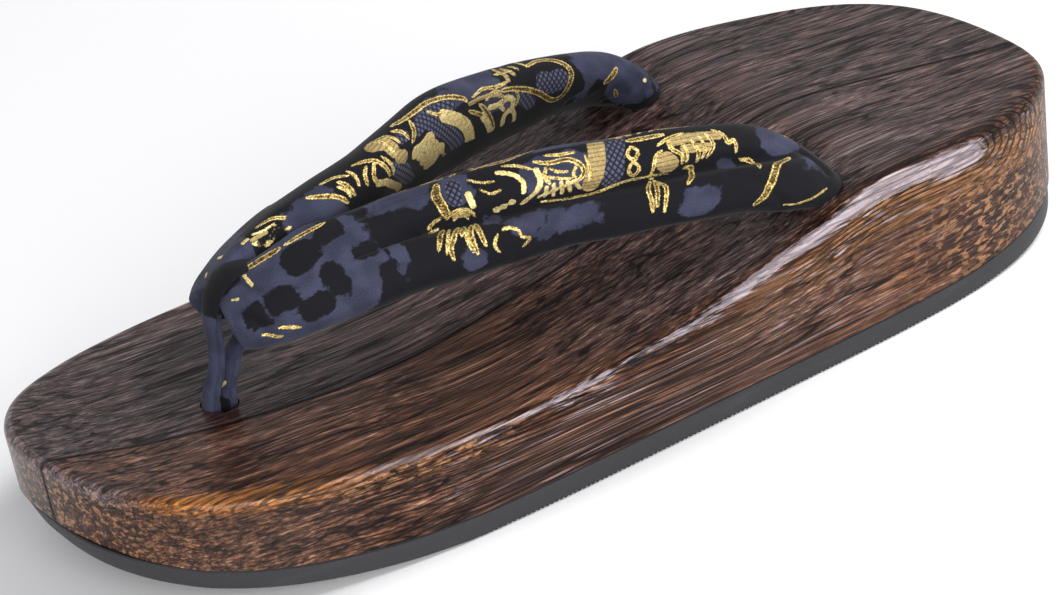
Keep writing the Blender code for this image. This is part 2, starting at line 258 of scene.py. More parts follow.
def closeAcross(piece, ring):
    # bridges a ring's +X half to its -X half, straight across, and fills what is left at the tips
    around = readAttribute(piece, "around")
    tips = 1e-6
    halves = ring & (np.abs(around) > tips) & (np.abs(around - 0.5) > tips) & (np.abs(around - 1) > tips)
    ends = np.empty(len(piece.data.edges) * 2, int)
    piece.data.edges.foreach_get("vertices", ends)
    ends = ends.reshape(-1, 2)
    sameSide = (around[ends[:, 0]] - 0.5) * (around[ends[:, 1]] - 0.5) > 0
    chosen = halves[ends[:, 0]] & halves[ends[:, 1]] & sameSide
    piece.data.vertices.foreach_set("select", np.zeros(len(piece.data.vertices), bool))
    piece.data.polygons.foreach_set("select", np.zeros(len(piece.data.polygons), bool))
    piece.data.edges.foreach_set("select", chosen)
    bpy.context.tool_settings.mesh_select_mode = (False, True, False)
    editOn(piece)
    bpy.ops.mesh.bridge_edge_loops()
    bpy.ops.mesh.select_all(action="SELECT")
    bpy.ops.mesh.fill_holes(sides=8)
    bpy.ops.mesh.normals_make_consistent(inside=False)
    bpy.ops.mesh.select_all(action="DESELECT")
    editOff()


def finishPiece(piece, name, nodes, material, angle=40):
    piece.name = piece.data.name = name
    piece.data.materials.clear()
    piece.data.materials.append(material)
    chooseOnly(piece)
    bpy.ops.object.shade_smooth_by_angle(angle=math.radians(angle))
    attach(piece, "root")
    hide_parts(*nodes)


class Wire:
    # a shader socket that plain arithmetic can be written with
    def __init__(self, finish, socket):
        self.finish, self.socket = finish, socket

    def maths(self, operation, *values):
        return self.finish.add("Math", {"operation": operation}, dict(enumerate(values)))

    def __add__(self, other):
        return self.maths("ADD", self, other)

    def __sub__(self, other):
        return self.maths("SUBTRACT", self, other)

    def __rsub__(self, other):
        return self.maths("SUBTRACT", other, self)

    def __mul__(self, other):
        return self.maths("MULTIPLY", self, other)

    def __truediv__(self, other):
        return self.maths("DIVIDE", self, other)

    def __pow__(self, other):
        return self.maths("POWER", self, other)

    def __abs__(self):
        return self.maths("ABSOLUTE", self)

    __radd__, __rmul__ = __add__, __mul__

    def most(self, *others):
        # the largest of this and the others
        largest = self
        for other in others:
            largest = self.maths("MAXIMUM", largest, other)
        return largest

    def fraction(self):
        return self.maths("FRACT", self)

    def toAndFro(self):
        # rises from 0 to a half and falls back, over and over
        return self.maths("PINGPONG", self, 0.5)

    def between(self, low, high):
        # 0 below low, 1 above high, smooth in between; the other way round where low is above high
        settings = {"interpolation_type": "SMOOTHSTEP"}
        return self.finish.add("MapRange", settings, {"Value": self, "From Min": low, "From Max": high})


class Finish:
    # a material and the one method that adds its nodes
    def __init__(self, name):
        self.material = bpy.data.materials.new(name)
        self.material.use_nodes = True
        self.tree = self.material.node_tree
        self.shader = self.tree.nodes["Principled BSDF"]

    def join(self, value, socket):
        if isinstance(value, Wire):
            self.tree.links.new(value.socket, socket)
        else:
            socket.default_value = value

    def add(self, kind, settings, sockets, output=0):
        node = self.tree.nodes.new("ShaderNode" + kind)
        for key, value in settings.items():
            if key == "stops":
                ramp = node.color_ramp.elements
                while len(ramp) < len(value):
                    ramp.new(0.5)
                for stop, (position, colour) in zip(ramp, value):
                    stop.position, stop.color = position, (*colour, 1)
            else:
                setattr(node, key, value)
        for key, value in sockets.items():
            self.join(value, node.inputs[key])
        return Wire(self, node.outputs[output])

    def set(self, **sockets):
        for key, value in sockets.items():
            self.join(value, self.shader.inputs[key.replace("_", " ")])

    def places(self):
        # x, y and z on the object, in millimetres
        vector = self.add("TexCoord", {}, {}, "Object")
        return [self.add("SeparateXYZ", {}, {"Vector": vector}, axis) * 1000 for axis in range(3)]

    def attribute(self, name):
        return self.add("Attribute", {"attribute_name": name}, {}, 2)

    def noise(self, x, y, z, detail=2.0, roughness=0.5):
        vector = self.add("CombineXYZ", {}, {"X": x, "Y": y, "Z": z})
        return self.add("TexNoise", {}, {"Vector": vector, "Scale": 1.0, "Detail": detail,
                                         "Roughness": roughness})

    def ramp(self, value, *stops):
        return self.add("ValToRGB", {"stops": stops}, {"Fac": value})

    def mix(self, share, first, second):
        return self.add("Mix", {"data_type": "RGBA"}, {0: share, 6: first, 7: second}, 2)

    def bump(self, height, distance, strength=1.0):
        return self.add("Bump", {}, {"Height": height, "Distance": distance, "Strength": strength})


# The wooden block: a deck of small faces, its rim and wall extruded ring by ring
wood = {
    "deckAcross": 150,
    "deckAlong": 300,
    "toeCorner": 0.062,           # where the deck's grid has its corners, as shares of the way around
    "heelCorner": 0.068,
    "rimRings": 8,
    "wallRings": 22,
    "rimStart": 12.0,             # millimetres of deck next to the rim that the rim's places count from
    "plankGap": 0.00030,
    "seamReach": 5.0,             # millimetres beside the glue line in which its distance is kept
    "glueBend": 0.034,            # how far from the glue line the wood goes along with its wandering
    "toeHoleRadius": 0.0044,
    "heelHoleRadius": 0.0045,
    "heelHoleForward": 0.003,
    # place along the base, how far the glue line wanders from its straight course
    "glueWander": [(-1.0, -0.0045), (-0.48, 0.0048), (0.0, 0.0010), (0.51, -0.0044), (1.0, 0.0040)],
}

scorched = {
    # each plank: the middle of its growth rings and their pitch in millimetres, how grey it is and how much
    # greyer at the heel, how light, its glow at the toe, and where its noises start
    "wide": {"ringX": -44, "ringZ": -70, "pitch": 1.5, "grey": 0.65, "greyHeel": -0.05, "light": -0.03,
             "glow": 0.0, "shift": 3.1},
    "narrow": {"ringX": 47, "ringZ": -60, "pitch": 1.35, "grey": -0.05, "greyHeel": 0.60, "light": 0.00,
               "glow": 1.1, "shift": 8.7},
    "brown": [(0.00, (0.005, 0.002, 0.001)), (0.30, (0.022, 0.007, 0.004)), (0.52, (0.084, 0.030, 0.014)),
              (0.74, (0.205, 0.086, 0.042)), (1.00, (0.480, 0.280, 0.170))],
    "greyed": [(0.00, (0.005, 0.003, 0.003)), (0.30, (0.022, 0.013, 0.014)), (0.52, (0.062, 0.042, 0.044)),
               (0.74, (0.135, 0.102, 0.106)), (1.00, (0.290, 0.245, 0.250))],
    "burnt": (0.0030, 0.0016, 0.0014, 1),
    "stain": (0.0360, 0.0085, 0.0045, 1),
    "amber": (0.400, 0.170, 0.050, 1),
    "glow": (0.560, 0.200, 0.032, 1),
    "dots": (0.440, 0.215, 0.095, 1),
    # pale: the colour of the pale lines on the wall, and of the painted highlights on the rim
    "pale": (0.470, 0.400, 0.440, 1),
    # noises along the fibres: millimetres across and along, shift across and along, detail, roughness
    "grain": {
        "streak": (2.2, 110, 1, 0, 4.0, 0.62),
        "fibre": (0.50, 34, 0, 1, 3.0, 0.60),
        "dash": (0.50, 5.5, 1, 0, 2.0, 0.60),
        "longVein": (1.8, 120, 1, 0, 0.0, 0.50),
        "shortVein": (1.3, 26, 0, 1, 1.0, 0.50),
        "crack": (0.7, 24, 1, 0, 3.0, 0.60),
        "wave": (6.0, 120, 1, 0, 2.0, 0.50),
        "paleLine": (1.1, 90, 0, 1, 3.0, 0.60),
    },
    # zones: the way that is measured, and the millimetres where the zone begins and where it's full; along
    # runs from -135 at the toe to 135 at the heel, rim outward from the deck's edge and on down the wall
    "zones": {
        "toeward": [("along", -74, -98)],
        "heelward": [("along", 0, 45), ("along", 132, 114)],
        "onRim": [("rim", -3.0, 1.5)],
        "onWall": [("rim", 4.0, 8.0)],
        "heelDeck": [("along", -45, 25), ("rim", 0, -4)],
        "heelWall": [("along", 48, 96), ("rim", 8, 15)],
        "roundStrip": [("rim", -4, -1), ("rim", 20, 9)],
        "amber": [("rim", 3.0, 6.0), ("rim", 19, 10)],
        "glow": [("rim", -4.0, 0.5), ("rim", 6.0, 3.0), ("across", 22, 36)],
        "mottled": [("rim", 0.5, 2.0), ("rim", 8.5, 5.0), ("along", -94, -84), ("along", -36, -56)],
        "underRim": [("rim", 1.5, 3.0), ("along", -75, -50)],
        # the next zone is where the painted highlight lies on the toe rim
        "toeGloss": [("rim", -0.5, 1.0), ("rim", 6.0, 2.5), ("across", 34, 20)],
    },
    "bend": (30, 85),             # the fibres' bends, millimetres across and along
    "bendReach": (7, 5),          # how far they take the fibres, across and up
    "cloud": (22, 60),
    "speck": (1.35, 3.0, 1.15),
    "stripMiddle": 1.8,           # the painted highlight strip's middle from the deck's edge, in millimetres
    "stripSinks": 3.2,            # how much further down it lies towards the heel
    "stripEnd": 90,               # where along the base it starts to close
    "nestedPitch": 1.35,
    "stainMiddle": (11, 1),       # beside the toe hole and behind it
    "stainSpread": (120, 190),
}


def insideZone(ways, rows):
    # 1 inside a zone and 0 outside it
    inside = 1
    for way, begins, full in rows:
        inside = ways[way].between(begins, full) * inside
    return inside


def woodGrain(finish, look, x, y, z):
    # the fibres run along the base and wander a little
    shift = look["shift"]
    wide, long = scorched["bend"]
    bend = finish.noise(x / wide + shift, y / long, z / wide, 1.0) - 0.5
    bendAcross, bendUp = x + bend * scorched["bendReach"][0], z + bend * scorched["bendReach"][1]
    wide, long = scorched["cloud"]
    speckX, speckY, speckZ = scorched["speck"]
    grain = {
        "cloud": finish.noise(x / wide + shift, y / long, z / wide, 1.0),
        "speck": finish.noise(x / speckX + shift, y / speckY, z / speckZ, 2.0),
        "ring": ((bendAcross - look["ringX"]) ** 2 + (bendUp - look["ringZ"]) ** 2) ** 0.5 / look["pitch"],
    }
    for name, (wide, long, shiftWide, shiftLong, detail, roughness) in scorched["grain"].items():
        grain[name] = finish.noise(bendAcross / wide + shift * shiftWide, y / long + shift * shiftLong,
                                   bendUp / wide, detail, roughness)
    return grain


def woodFinish(name, look):
    finish = Finish(name)
    x, y, z = finish.places()
    rim = finish.attribute("rimPlace") - wood["rimStart"]
    endGrain = finish.attribute("endGrain")
    ways = {"across": x, "along": y, "rim": rim}
    zone = {key: insideZone(ways, rows) for key, rows in scorched["zones"].items()}
    toeward, heelward, onRim, onWall = (zone[key] for key in ("toeward", "heelward", "onRim", "onWall"))
    grain = woodGrain(finish, look, x, y, z)
    streak, fibre, dash = grain["streak"], grain["fibre"], grain["dash"]
    cloud, speck = grain["cloud"], grain["speck"]
    cutAcross = endGrain.most(zone["heelWall"] * 0.85)
    lit = (fibre - 0.5) * 2.4 + (streak - 0.5) * 1.2 + 0.50
    # crisp dark veins: long ones, and short wavy ones that come and go
    longVein = abs(grain["longVein"] - 0.5).between(0.080, 0.030) * streak.between(0.85, 0.40)
    shortVein = abs(grain["shortVein"] - 0.5).between(0.085, 0.030) * cloud.between(0.40, 0.6) * 0.7
    groove = longVein.most(shortVein)
    crack = grain["crack"].between(0.56, 0.61)
    pore = dash.between(0.60, 0.66)
    # growth rings show as fine contours on the rim and wall, and as dots where the wall cuts across them
    ring = (grain["ring"] + grain["wave"] * 5).fraction()
    contour = ring.between(0.50, 0.80) * ring.between(1.0, 0.90) * onRim * (1 - endGrain)
    dots = speck.between(0.53, 0.59) * cutAcross
    dots = dots.most(zone["mottled"] * speck.between(0.48, 0.55))
    # heelward the contours lie round the painted highlight strip and close round its end
    offMiddle = rim - y.between(30, 78) * scorched["stripSinks"] - scorched["stripMiddle"]
    past = (y - scorched["stripEnd"]).most(0.0)
    offStrip = (offMiddle ** 2 + past ** 2 * 0.30) ** 0.5
    nested = (offStrip / scorched["nestedPitch"] + grain["wave"] * 2.2).fraction()
    nested = nested.between(0.45, 0.70) * nested.between(1.0, 0.90) * zone["roundStrip"]
    contour = (contour * (1 - heelward)).most(nested * heelward)
    # the strip along the rim is a painted highlight in pale colour, with real extra gloss from roughness
    # and coat; it is broad towards the heel and broken towards the toe
    reach = (0.25 + y.between(-50, 60) * 1.4 + y.between(50, 92) * 0.9 + (streak - 0.5) * 5.5
             + (fibre - 0.5) * 3.0 + (dash - 0.5) * 1.4)
    highlightStrip = (offStrip - reach).between(0.4, -0.4) * (y.between(-96, -70) * 0.4 + y.between(-58, -42) * 0.6)
    # long pale lines on the wall under the rim, and the stain beside the toe hole
    paleLine = grain["paleLine"].between(0.56, 0.66) * zone["underRim"]
    paleLine = paleLine * (0.25 + rim.between(22, 8) * 0.45) * (1 - cutAcross)
    (stainX, stainY), (spreadX, spreadY) = scorched["stainMiddle"], scorched["stainSpread"]
    stain = (x - stainX) ** 2 / spreadX + (y - toeHoleY * 1000 - stainY) ** 2 / spreadY + cloud * 1.5
    seam = finish.attribute("fromGlue").between(0.9, 0.3) * 0.85
    dark = (contour * 0.88).most(groove * 0.88, crack * 0.60, pore * 0.50)
    dark = (dark * (1 - cutAcross * 0.6) * (1 - highlightStrip * 0.35)).most(seam)
    tone = (0.52 + look["light"] + (streak - 0.5) * 1.1 + (fibre - 0.5) * 1.5 + (cloud - 0.5) * 0.45
            + onWall * 0.05 - cutAcross * 0.20)
    grey = (0.10 + look["grey"] + zone["heelDeck"] * look["greyHeel"] - onRim * 0.25 + onWall * 0.35
            - cutAcross * 0.6 + (cloud - 0.5) * 0.8)
    colour = finish.mix(grey, finish.ramp(tone, *scorched["brown"]), finish.ramp(tone, *scorched["greyed"]))
    layers = [
        ("amber", zone["amber"] * heelward * lit),
        ("glow", zone["glow"] * toeward * lit * look["glow"]),
        ("stain", stain.between(1.9, 0.7) * (0.85 - fibre * 0.6)),
        ("dots", dots * 0.75),
        ("pale", paleLine),
        # painted highlights in the pale colour: the strip along the rim, and on the toe rim below
        ("pale", highlightStrip * (0.50 + fibre * 0.45)),
        ("pale", zone["toeGloss"] * toeward * lit * 0.45),
        ("burnt", dark),
    ]
    for shade, share in layers:
        colour = finish.mix(share, colour, scorched[shade])
    gloss = highlightStrip.most(toeward * onRim * 0.8)
    height = (streak * 0.6 + fibre * 0.6 - contour * 0.30 - crack * 0.30 - pore * 0.15 - groove * 0.40
              + dots * 0.2)
    finish.set(Base_Color=colour, Roughness=0.42 - fibre * 0.2 + dark * 0.2 - gloss * 0.10,
               Specular_IOR_Level=0.08, Coat_Weight=0.26 - dark * 0.24 + gloss * 0.30, Coat_Roughness=0.28,
               Normal=finish.bump(height, 0.00045))
    return finish.material


quarterTurn = math.pi / 2


def deckPlaces(u, v):
    # fills the space inside the deck's edge with an even grid, u across and v along, both from 0 to 1
    toe, heel = wood["toeCorner"], wood["heelCorner"]

    def edge(around):
        return rimPlaces(around, quarterTurn)

    u, v = u[:, None], v[:, None]
    toeEdge = edge(-toe + 2 * toe * u[:, 0])
    heelEdge = edge(0.5 + heel - 2 * heel * u[:, 0])
    nearEdge = edge(toe + (0.5 - heel - toe) * v[:, 0])
    farEdge = edge(1 - toe - (0.5 - heel - toe) * v[:, 0])
    toeFar, toeNear = edge(np.array([-toe, toe]))
    heelFar, heelNear = edge(np.array([0.5 + heel, 0.5 - heel]))
    flat = ((1 - u) * farEdge + u * nearEdge + (1 - v) * toeEdge + v * heelEdge
            - (1 - u) * (1 - v) * toeFar - u * (1 - v) * toeNear - (1 - u) * v * heelFar - u * v * heelNear)
    flat[:, 2] = deckAt(flat[:, 1])
    return flat


def aroundOfEdge(u, v):
    # the way around of each place on the deck grid's edge
    toe, heel = wood["toeCorner"], wood["heelCorner"]
    tiny = 1e-6
    around = np.zeros(len(u))
    near, far = u > 1 - tiny, u < tiny
    around[near] = toe + (0.5 - heel - toe) * v[near]
    around[far] = 1 - toe - (0.5 - heel - toe) * v[far]
    toeEdge, heelEdge = v < tiny, v > 1 - tiny
    around[toeEdge] = np.mod(-toe + 2 * toe * u[toeEdge], 1.0)
    around[heelEdge] = 0.5 + heel - 2 * heel * u[heelEdge]
    return around


def deckRim(places):
    # how near a place on the deck is to its edge: 0 inside and rimStart at the edge, in millimetres
    edge = np.interp(places[:, 1], outline[2], outline[1])
    facing = np.abs(np.interp(places[:, 1], outline[2], outline[3]))
    gap = (edge + rimFlareAt(places[:, 1]) - rimRadiusAt(places[:, 1]) - np.abs(places[:, 0])) * facing
    return np.clip(wood["rimStart"] - gap * 1000, 0, wood["rimStart"])


def addRing(block, places, turned):
    # one more ring of faces; turned is how far round the rim it lies, a quarter turn on all of the wall
    ring = extrudeRing(block, places)
    around = readAttribute(block, "around")[ring]
    x, y, normalX, normalY = outlineAt(around)
    drop = np.linalg.norm(places(around) - rimPlaces(around, quarterTurn - turned), axis=1)
    charted = {
        "endGrain": normalY ** 2 * turned / quarterTurn,
        "rimPlace": wood["rimStart"] + (rimRadiusAt(y) * turned + drop) * 1000,
    }
    for name, numbers in charted.items():
        values = readAttribute(block, name)
        values[ring] = numbers
        writeAttributes(block, {name: values})
    return ring


def makeBlock():
    block, u, v = makeGrid(wood["deckAcross"], wood["deckAlong"])
    setCoords(block, deckPlaces(u, v))
    writeAttributes(block, {"around": aroundOfEdge(u, v), "rimPlace": deckRim(vertexCoords(block)),
                            "endGrain": 0 * u})
    editOn(block)
    bpy.ops.mesh.select_all(action="SELECT")
    bpy.ops.mesh.region_to_loop()
    editOff()
    for step in range(1, wood["rimRings"] + 1):
        turned = quarterTurn * step / wood["rimRings"]
        addRing(block, lambda around: rimPlaces(around, quarterTurn - turned), turned)
    for step in range(1, wood["wallRings"] + 1):
        down = step / wood["wallRings"]
        ring = addRing(block, lambda around: wallPlaces(around, down), quarterTurn)
    closeAcross(block, ring)
    return block


def cutPlank(block, side):
    # keeps the part of the block on one side of the glue line
    chooseOnly(block)
    bpy.ops.object.duplicate()
    plank = bpy.context.object
    editOn(plank)
    bpy.ops.mesh.select_all(action="SELECT")
    cutX = base["glueLine"] + side * wood["plankGap"] / 2
    bpy.ops.mesh.bisect(plane_co=(cutX, 0, 0), plane_no=(-side, 0, 0), use_fill=True, clear_outer=True)
    editOff()
    coords = vertexCoords(plank)
    fromGlue = np.minimum(np.abs(coords[:, 0] - cutX) * 1000, wood["seamReach"])
    writeAttributes(plank, {"fromGlue": fromGlue})
    wander = smoothCurve(wood["glueWander"], 1, coords[:, 1] / halfLength)
    room = grown(np.abs(coords[:, 0] - base["glueLine"]), wood["glueBend"], 0)
    coords[:, 0] += wander * room * room * (3 - 2 * room)
    setCoords(plank, coords)
    return plank


def drillHole(plank, x, y, radius):
    bpy.ops.mesh.primitive_cylinder_add(vertices=48, radius=radius, depth=0.08, location=(x, y, 0.03))
    drill = bpy.context.object
    cut = plank.modifiers.new("hole", "BOOLEAN")
    cut.operation, cut.object, cut.solver = "DIFFERENCE", drill, "EXACT"
    bpy.context.view_layer.objects.active = plank
    bpy.ops.object.modifier_apply(modifier="hole")
    bpy.data.objects.remove(drill)


woodDark = woodFinish("scorchedWood", scorched["wide"])
woodBrown = woodFinish("scorchedWoodNarrow", scorched["narrow"])
block = makeBlock()
plankWide = cutPlank(block, -1)
plankNarrow = cutPlank(block, 1)
bpy.data.objects.remove(block)
drillHole(plankWide, 0, toeHoleY, wood["toeHoleRadius"])
for plank, x in ((plankWide, -heelHoleX), (plankNarrow, heelHoleX)):
    drillHole(plank, x, heelHoleY - wood["heelHoleForward"], wood["heelHoleRadius"])
finishPiece(plankWide, "plankWideScorched", ["plank_wide"], woodDark)
finishPiece(plankNarrow, "plankNarrowScorched", ["plank_narrow"], woodBrown)
print("planks made", len(plankWide.data.polygons), len(plankNarrow.data.polygons))

# The rubber sole: one ring of many vertices, so that its tread ribs show along the lower edge
sole = {
    "vertices": 2400,
    "ribPitch": 0.00125,
    "ribDepth": 0.0006,
    "ribbedFrom": -0.055,
    "ribbedTo": 0.100,
    "ribbedUpTo": 0.06,           # as a share of the thickness
    "ribsFade": 0.006,
    "drawnIn": (0.45, 0.90),      # where its foot draws in towards the toe, in half lengths
    # height up the wall as a share of the thickness, how far inside the outline
    "wallRings": [(0.0, 0.0006), (0.05, 0.0001), (0.35, 0.0), (0.70, 0.0), (0.93, 0.0001), (1.0, 0.0006)],
    "dark": (0.022, 0.022, 0.024, 1),
    "dusty": (0.060, 0.058, 0.060, 1),
}


def rubberFinish(name):
    # dark grey rubber with a fine tooth and a little dust
    finish = Finish(name)
    x, y, z = finish.places()
    tooth = finish.noise(x / 0.5, y / 0.5, z / 0.5, 3.0, 0.6)
    dust = finish.noise(x / 14, y / 22, z / 3, 4.0, 0.6).between(0.52, 0.75)
    colour = finish.mix(dust * 0.30 + tooth * 0.20, sole["dark"], sole["dusty"])
    finish.set(Base_Color=colour, Roughness=0.52 + dust * 0.2, Specular_IOR_Level=0.3,
               Normal=finish.bump(tooth, 0.00010))
    return finish.material


def solePlaces(around, up, inset):
    x, y, normalX, normalY = outlineAt(around)
    toeward = grown(-y / halfLength, *sole["drawnIn"])
    inset = inset + base["wallTuck"] + base["soleToeInset"] * toeward * (1 - up)
    flatX, flatY = x - normalX * inset, y - normalY * inset
    phase = np.mod(flatY / sole["ribPitch"], 1.0)
    fade = sole["ribsFade"]
    ribbed = grown(flatY, sole["ribbedFrom"], sole["ribbedFrom"] + fade)
    ribbed = ribbed * grown(flatY, sole["ribbedTo"], sole["ribbedTo"] - fade) * (up < sole["ribbedUpTo"])
    groove = np.clip(np.abs(phase - 0.5) * 4 - 0.7, 0, 1) * sole["ribDepth"] * ribbed
    return np.stack([flatX, flatY, soleBottomAt(flatY) + base["soleThickness"] * up + groove], axis=1)


def makeSole():
    bpy.ops.mesh.primitive_circle_add(vertices=sole["vertices"], radius=0.1, fill_type="NOTHING")
    piece = bpy.context.object
    around = np.arange(sole["vertices"]) / sole["vertices"]
    writeAttributes(piece, {"around": around})
    rings = sole["wallRings"]
    setCoords(piece, solePlaces(around, *rings[0]))
    editOn(piece)
    bpy.ops.mesh.select_all(action="SELECT")
    editOff()
    for up, inset in rings[1:]:
        lastRing = extrudeRing(piece, lambda around: solePlaces(around, up, inset))
    firstRing = np.arange(len(piece.data.vertices)) < sole["vertices"]
    closeAcross(piece, lastRing)
    closeAcross(piece, firstRing)
    return piece


outsole = makeSole()
finishPiece(outsole, "outsoleRibbed", ["outsole"], rubberFinish("soleRubber"), 30)
print("sole made", len(outsole.data.polygons))

# The straps: padded tubes of two rolls each
strap = {
    "width": 0.0232,
    "thickness": 0.0130,
    "rise": 0.0290,
    "pinch": 0.0034,
    "along": 520,
    "around": 188,
    "middleGap": 0.0001,
    "endShare": 0.05,             # the share of its length in which the tube closes at each end
    "leastEnd": 0.02,
    "creaseWidth": 0.17,          # as a share of half the width
    "creaseGrows": (0.20, 0.36),
    "creaseFades": (0.95, 0.85),
    "noseJoins": (0.30, 0.18),
    "edgePower": 0.92,            # lower is squarer, here of the section's edges and its faces
    "facePower": 0.80,
    "noseSquarer": 0.55,
    "measuredAt": 1601,
    # place between toe hole and heel hole, out, rise, width, thickness, tilt in degrees
    "path": [(0.030, 0.12, 0.70, 0.56, 0.74, 36), (0.068, 0.19, 0.79, 0.78, 0.82, 35),
             (0.125, 0.26, 0.88, 0.90, 0.88, 33), (0.200, 0.30, 0.95, 1.00, 0.96, 33),
             (0.340, 0.40, 1.00, 1.00, 1.04, 42), (0.515, 0.64, 0.98, 0.98, 1.02, 64),
             (0.690, 0.88, 0.80, 0.94, 0.94, 60), (0.845, 1.05, 0.54, 0.93, 0.88, 40),
             (0.920, 1.10, 0.31, 0.92, 0.90, 28), (0.962, 1.08, 0.12, 0.88, 0.88, 20),
             (0.990, 1.05, -0.06, 0.80, 0.80, 12)],
    # the far strap lies a little differently: place, outward and up in millimetres, share of the width
    "farShift": [(0.0, 0.6, 1.0, 1.00), (0.13, 1.2, 1.9, 1.00), (0.22, 1.6, 2.6, 1.04),
                 (0.36, 1.4, 2.3, 1.16), (0.50, 0.6, 1.3, 1.16), (0.60, 0.0, 0.5, 1.10),
                 (0.70, -0.6, -0.5, 1.03), (0.80, -1.2, -1.4, 1.00), (0.92, -1.5, -1.4, 1.00),
                 (1.0, -0.8, -0.8, 1.00)],
}


def strapMiddle(at):
    y = toeHoleY + (heelHoleY - toeHoleY) * at
    return np.stack([heelHoleX * smoothCurve(strap["path"], 1, at), y,
                     deckAt(y) + strap["rise"] * smoothCurve(strap["path"], 2, at)], axis=1)


def strapAt(along):
    # rows lie closer together towards the strap's ends
    first, last = strap["path"][0][0], strap["path"][-1][0]
    return first + (last - first) * (0.5 - 0.5 * np.cos(math.pi * along))


def strapPlaces(along, around, side):
    # along runs from 0 at the nose to 1 at the heel end, around once round the section from its underside
    first, last = strap["path"][0][0], strap["path"][-1][0]
    at = strapAt(along)
    ahead, behind = strapMiddle(np.minimum(at + 0.01, last)), strapMiddle(np.maximum(at - 0.01, first))
    run = (ahead - behind) / np.linalg.norm(ahead - behind, axis=1)[:, None]
    outward = np.stack([run[:, 1], -run[:, 0], 0 * at], axis=1)
    outward /= np.linalg.norm(outward, axis=1)[:, None]
    upward = np.cross(outward, run)
    tilt = np.radians(smoothCurve(strap["path"], 5, at))[:, None]
    wideWay = outward * np.cos(tilt) - upward * np.sin(tilt)
    thickWay = outward * np.sin(tilt) + upward * np.cos(tilt)
    ends = grown(np.minimum(along, 1 - along), 0, strap["endShare"])
    close = np.maximum(np.sqrt(1 - (1 - ends) ** 2), strap["leastEnd"])
    halfWide = strap["width"] / 2 * smoothCurve(strap["path"], 3, at) * close
    if side < 0:
        halfWide = halfWide * smoothCurve(strap["farShift"], 3, at)
    halfThick = strap["thickness"] / 2 * smoothCurve(strap["path"], 4, at) * close
    angle = 2 * math.pi * around - math.pi / 2
    cosine, sine = np.cos(angle), np.sin(angle)
    # the crease starts behind the nose; at the nose the two straps' inner edges are square and meet
    wide = halfWide * np.sign(cosine) * np.abs(cosine) ** strap["edgePower"]
    crease = np.exp(-(wide / (halfWide * strap["creaseWidth"])) ** 2) * strap["pinch"] * close
    crease *= grown(at, *strap["creaseGrows"]) * grown(at, *strap["creaseFades"]) * (sine > 0)
    joined = grown(at, *strap["noseJoins"]) * np.clip(-cosine * 2, 0, 1)
    facePower = strap["facePower"] - strap["noseSquarer"] * joined
    thick = np.sign(sine) * (halfThick * np.abs(sine) ** facePower - crease * np.abs(sine))
    places = strapMiddle(at) + wideWay * wide[:, None] + thickWay * thick[:, None]
    if side < 0:
        places[:, 0] += smoothCurve(strap["farShift"], 1, at) / 1000
        places[:, 2] += smoothCurve(strap["farShift"], 2, at) / 1000
    places[:, 2] = np.maximum(places[:, 2], deckAt(places[:, 1]) + base["fitGap"])
    places[:, 0] = np.maximum(places[:, 0], strap["middleGap"]) * side
    return places


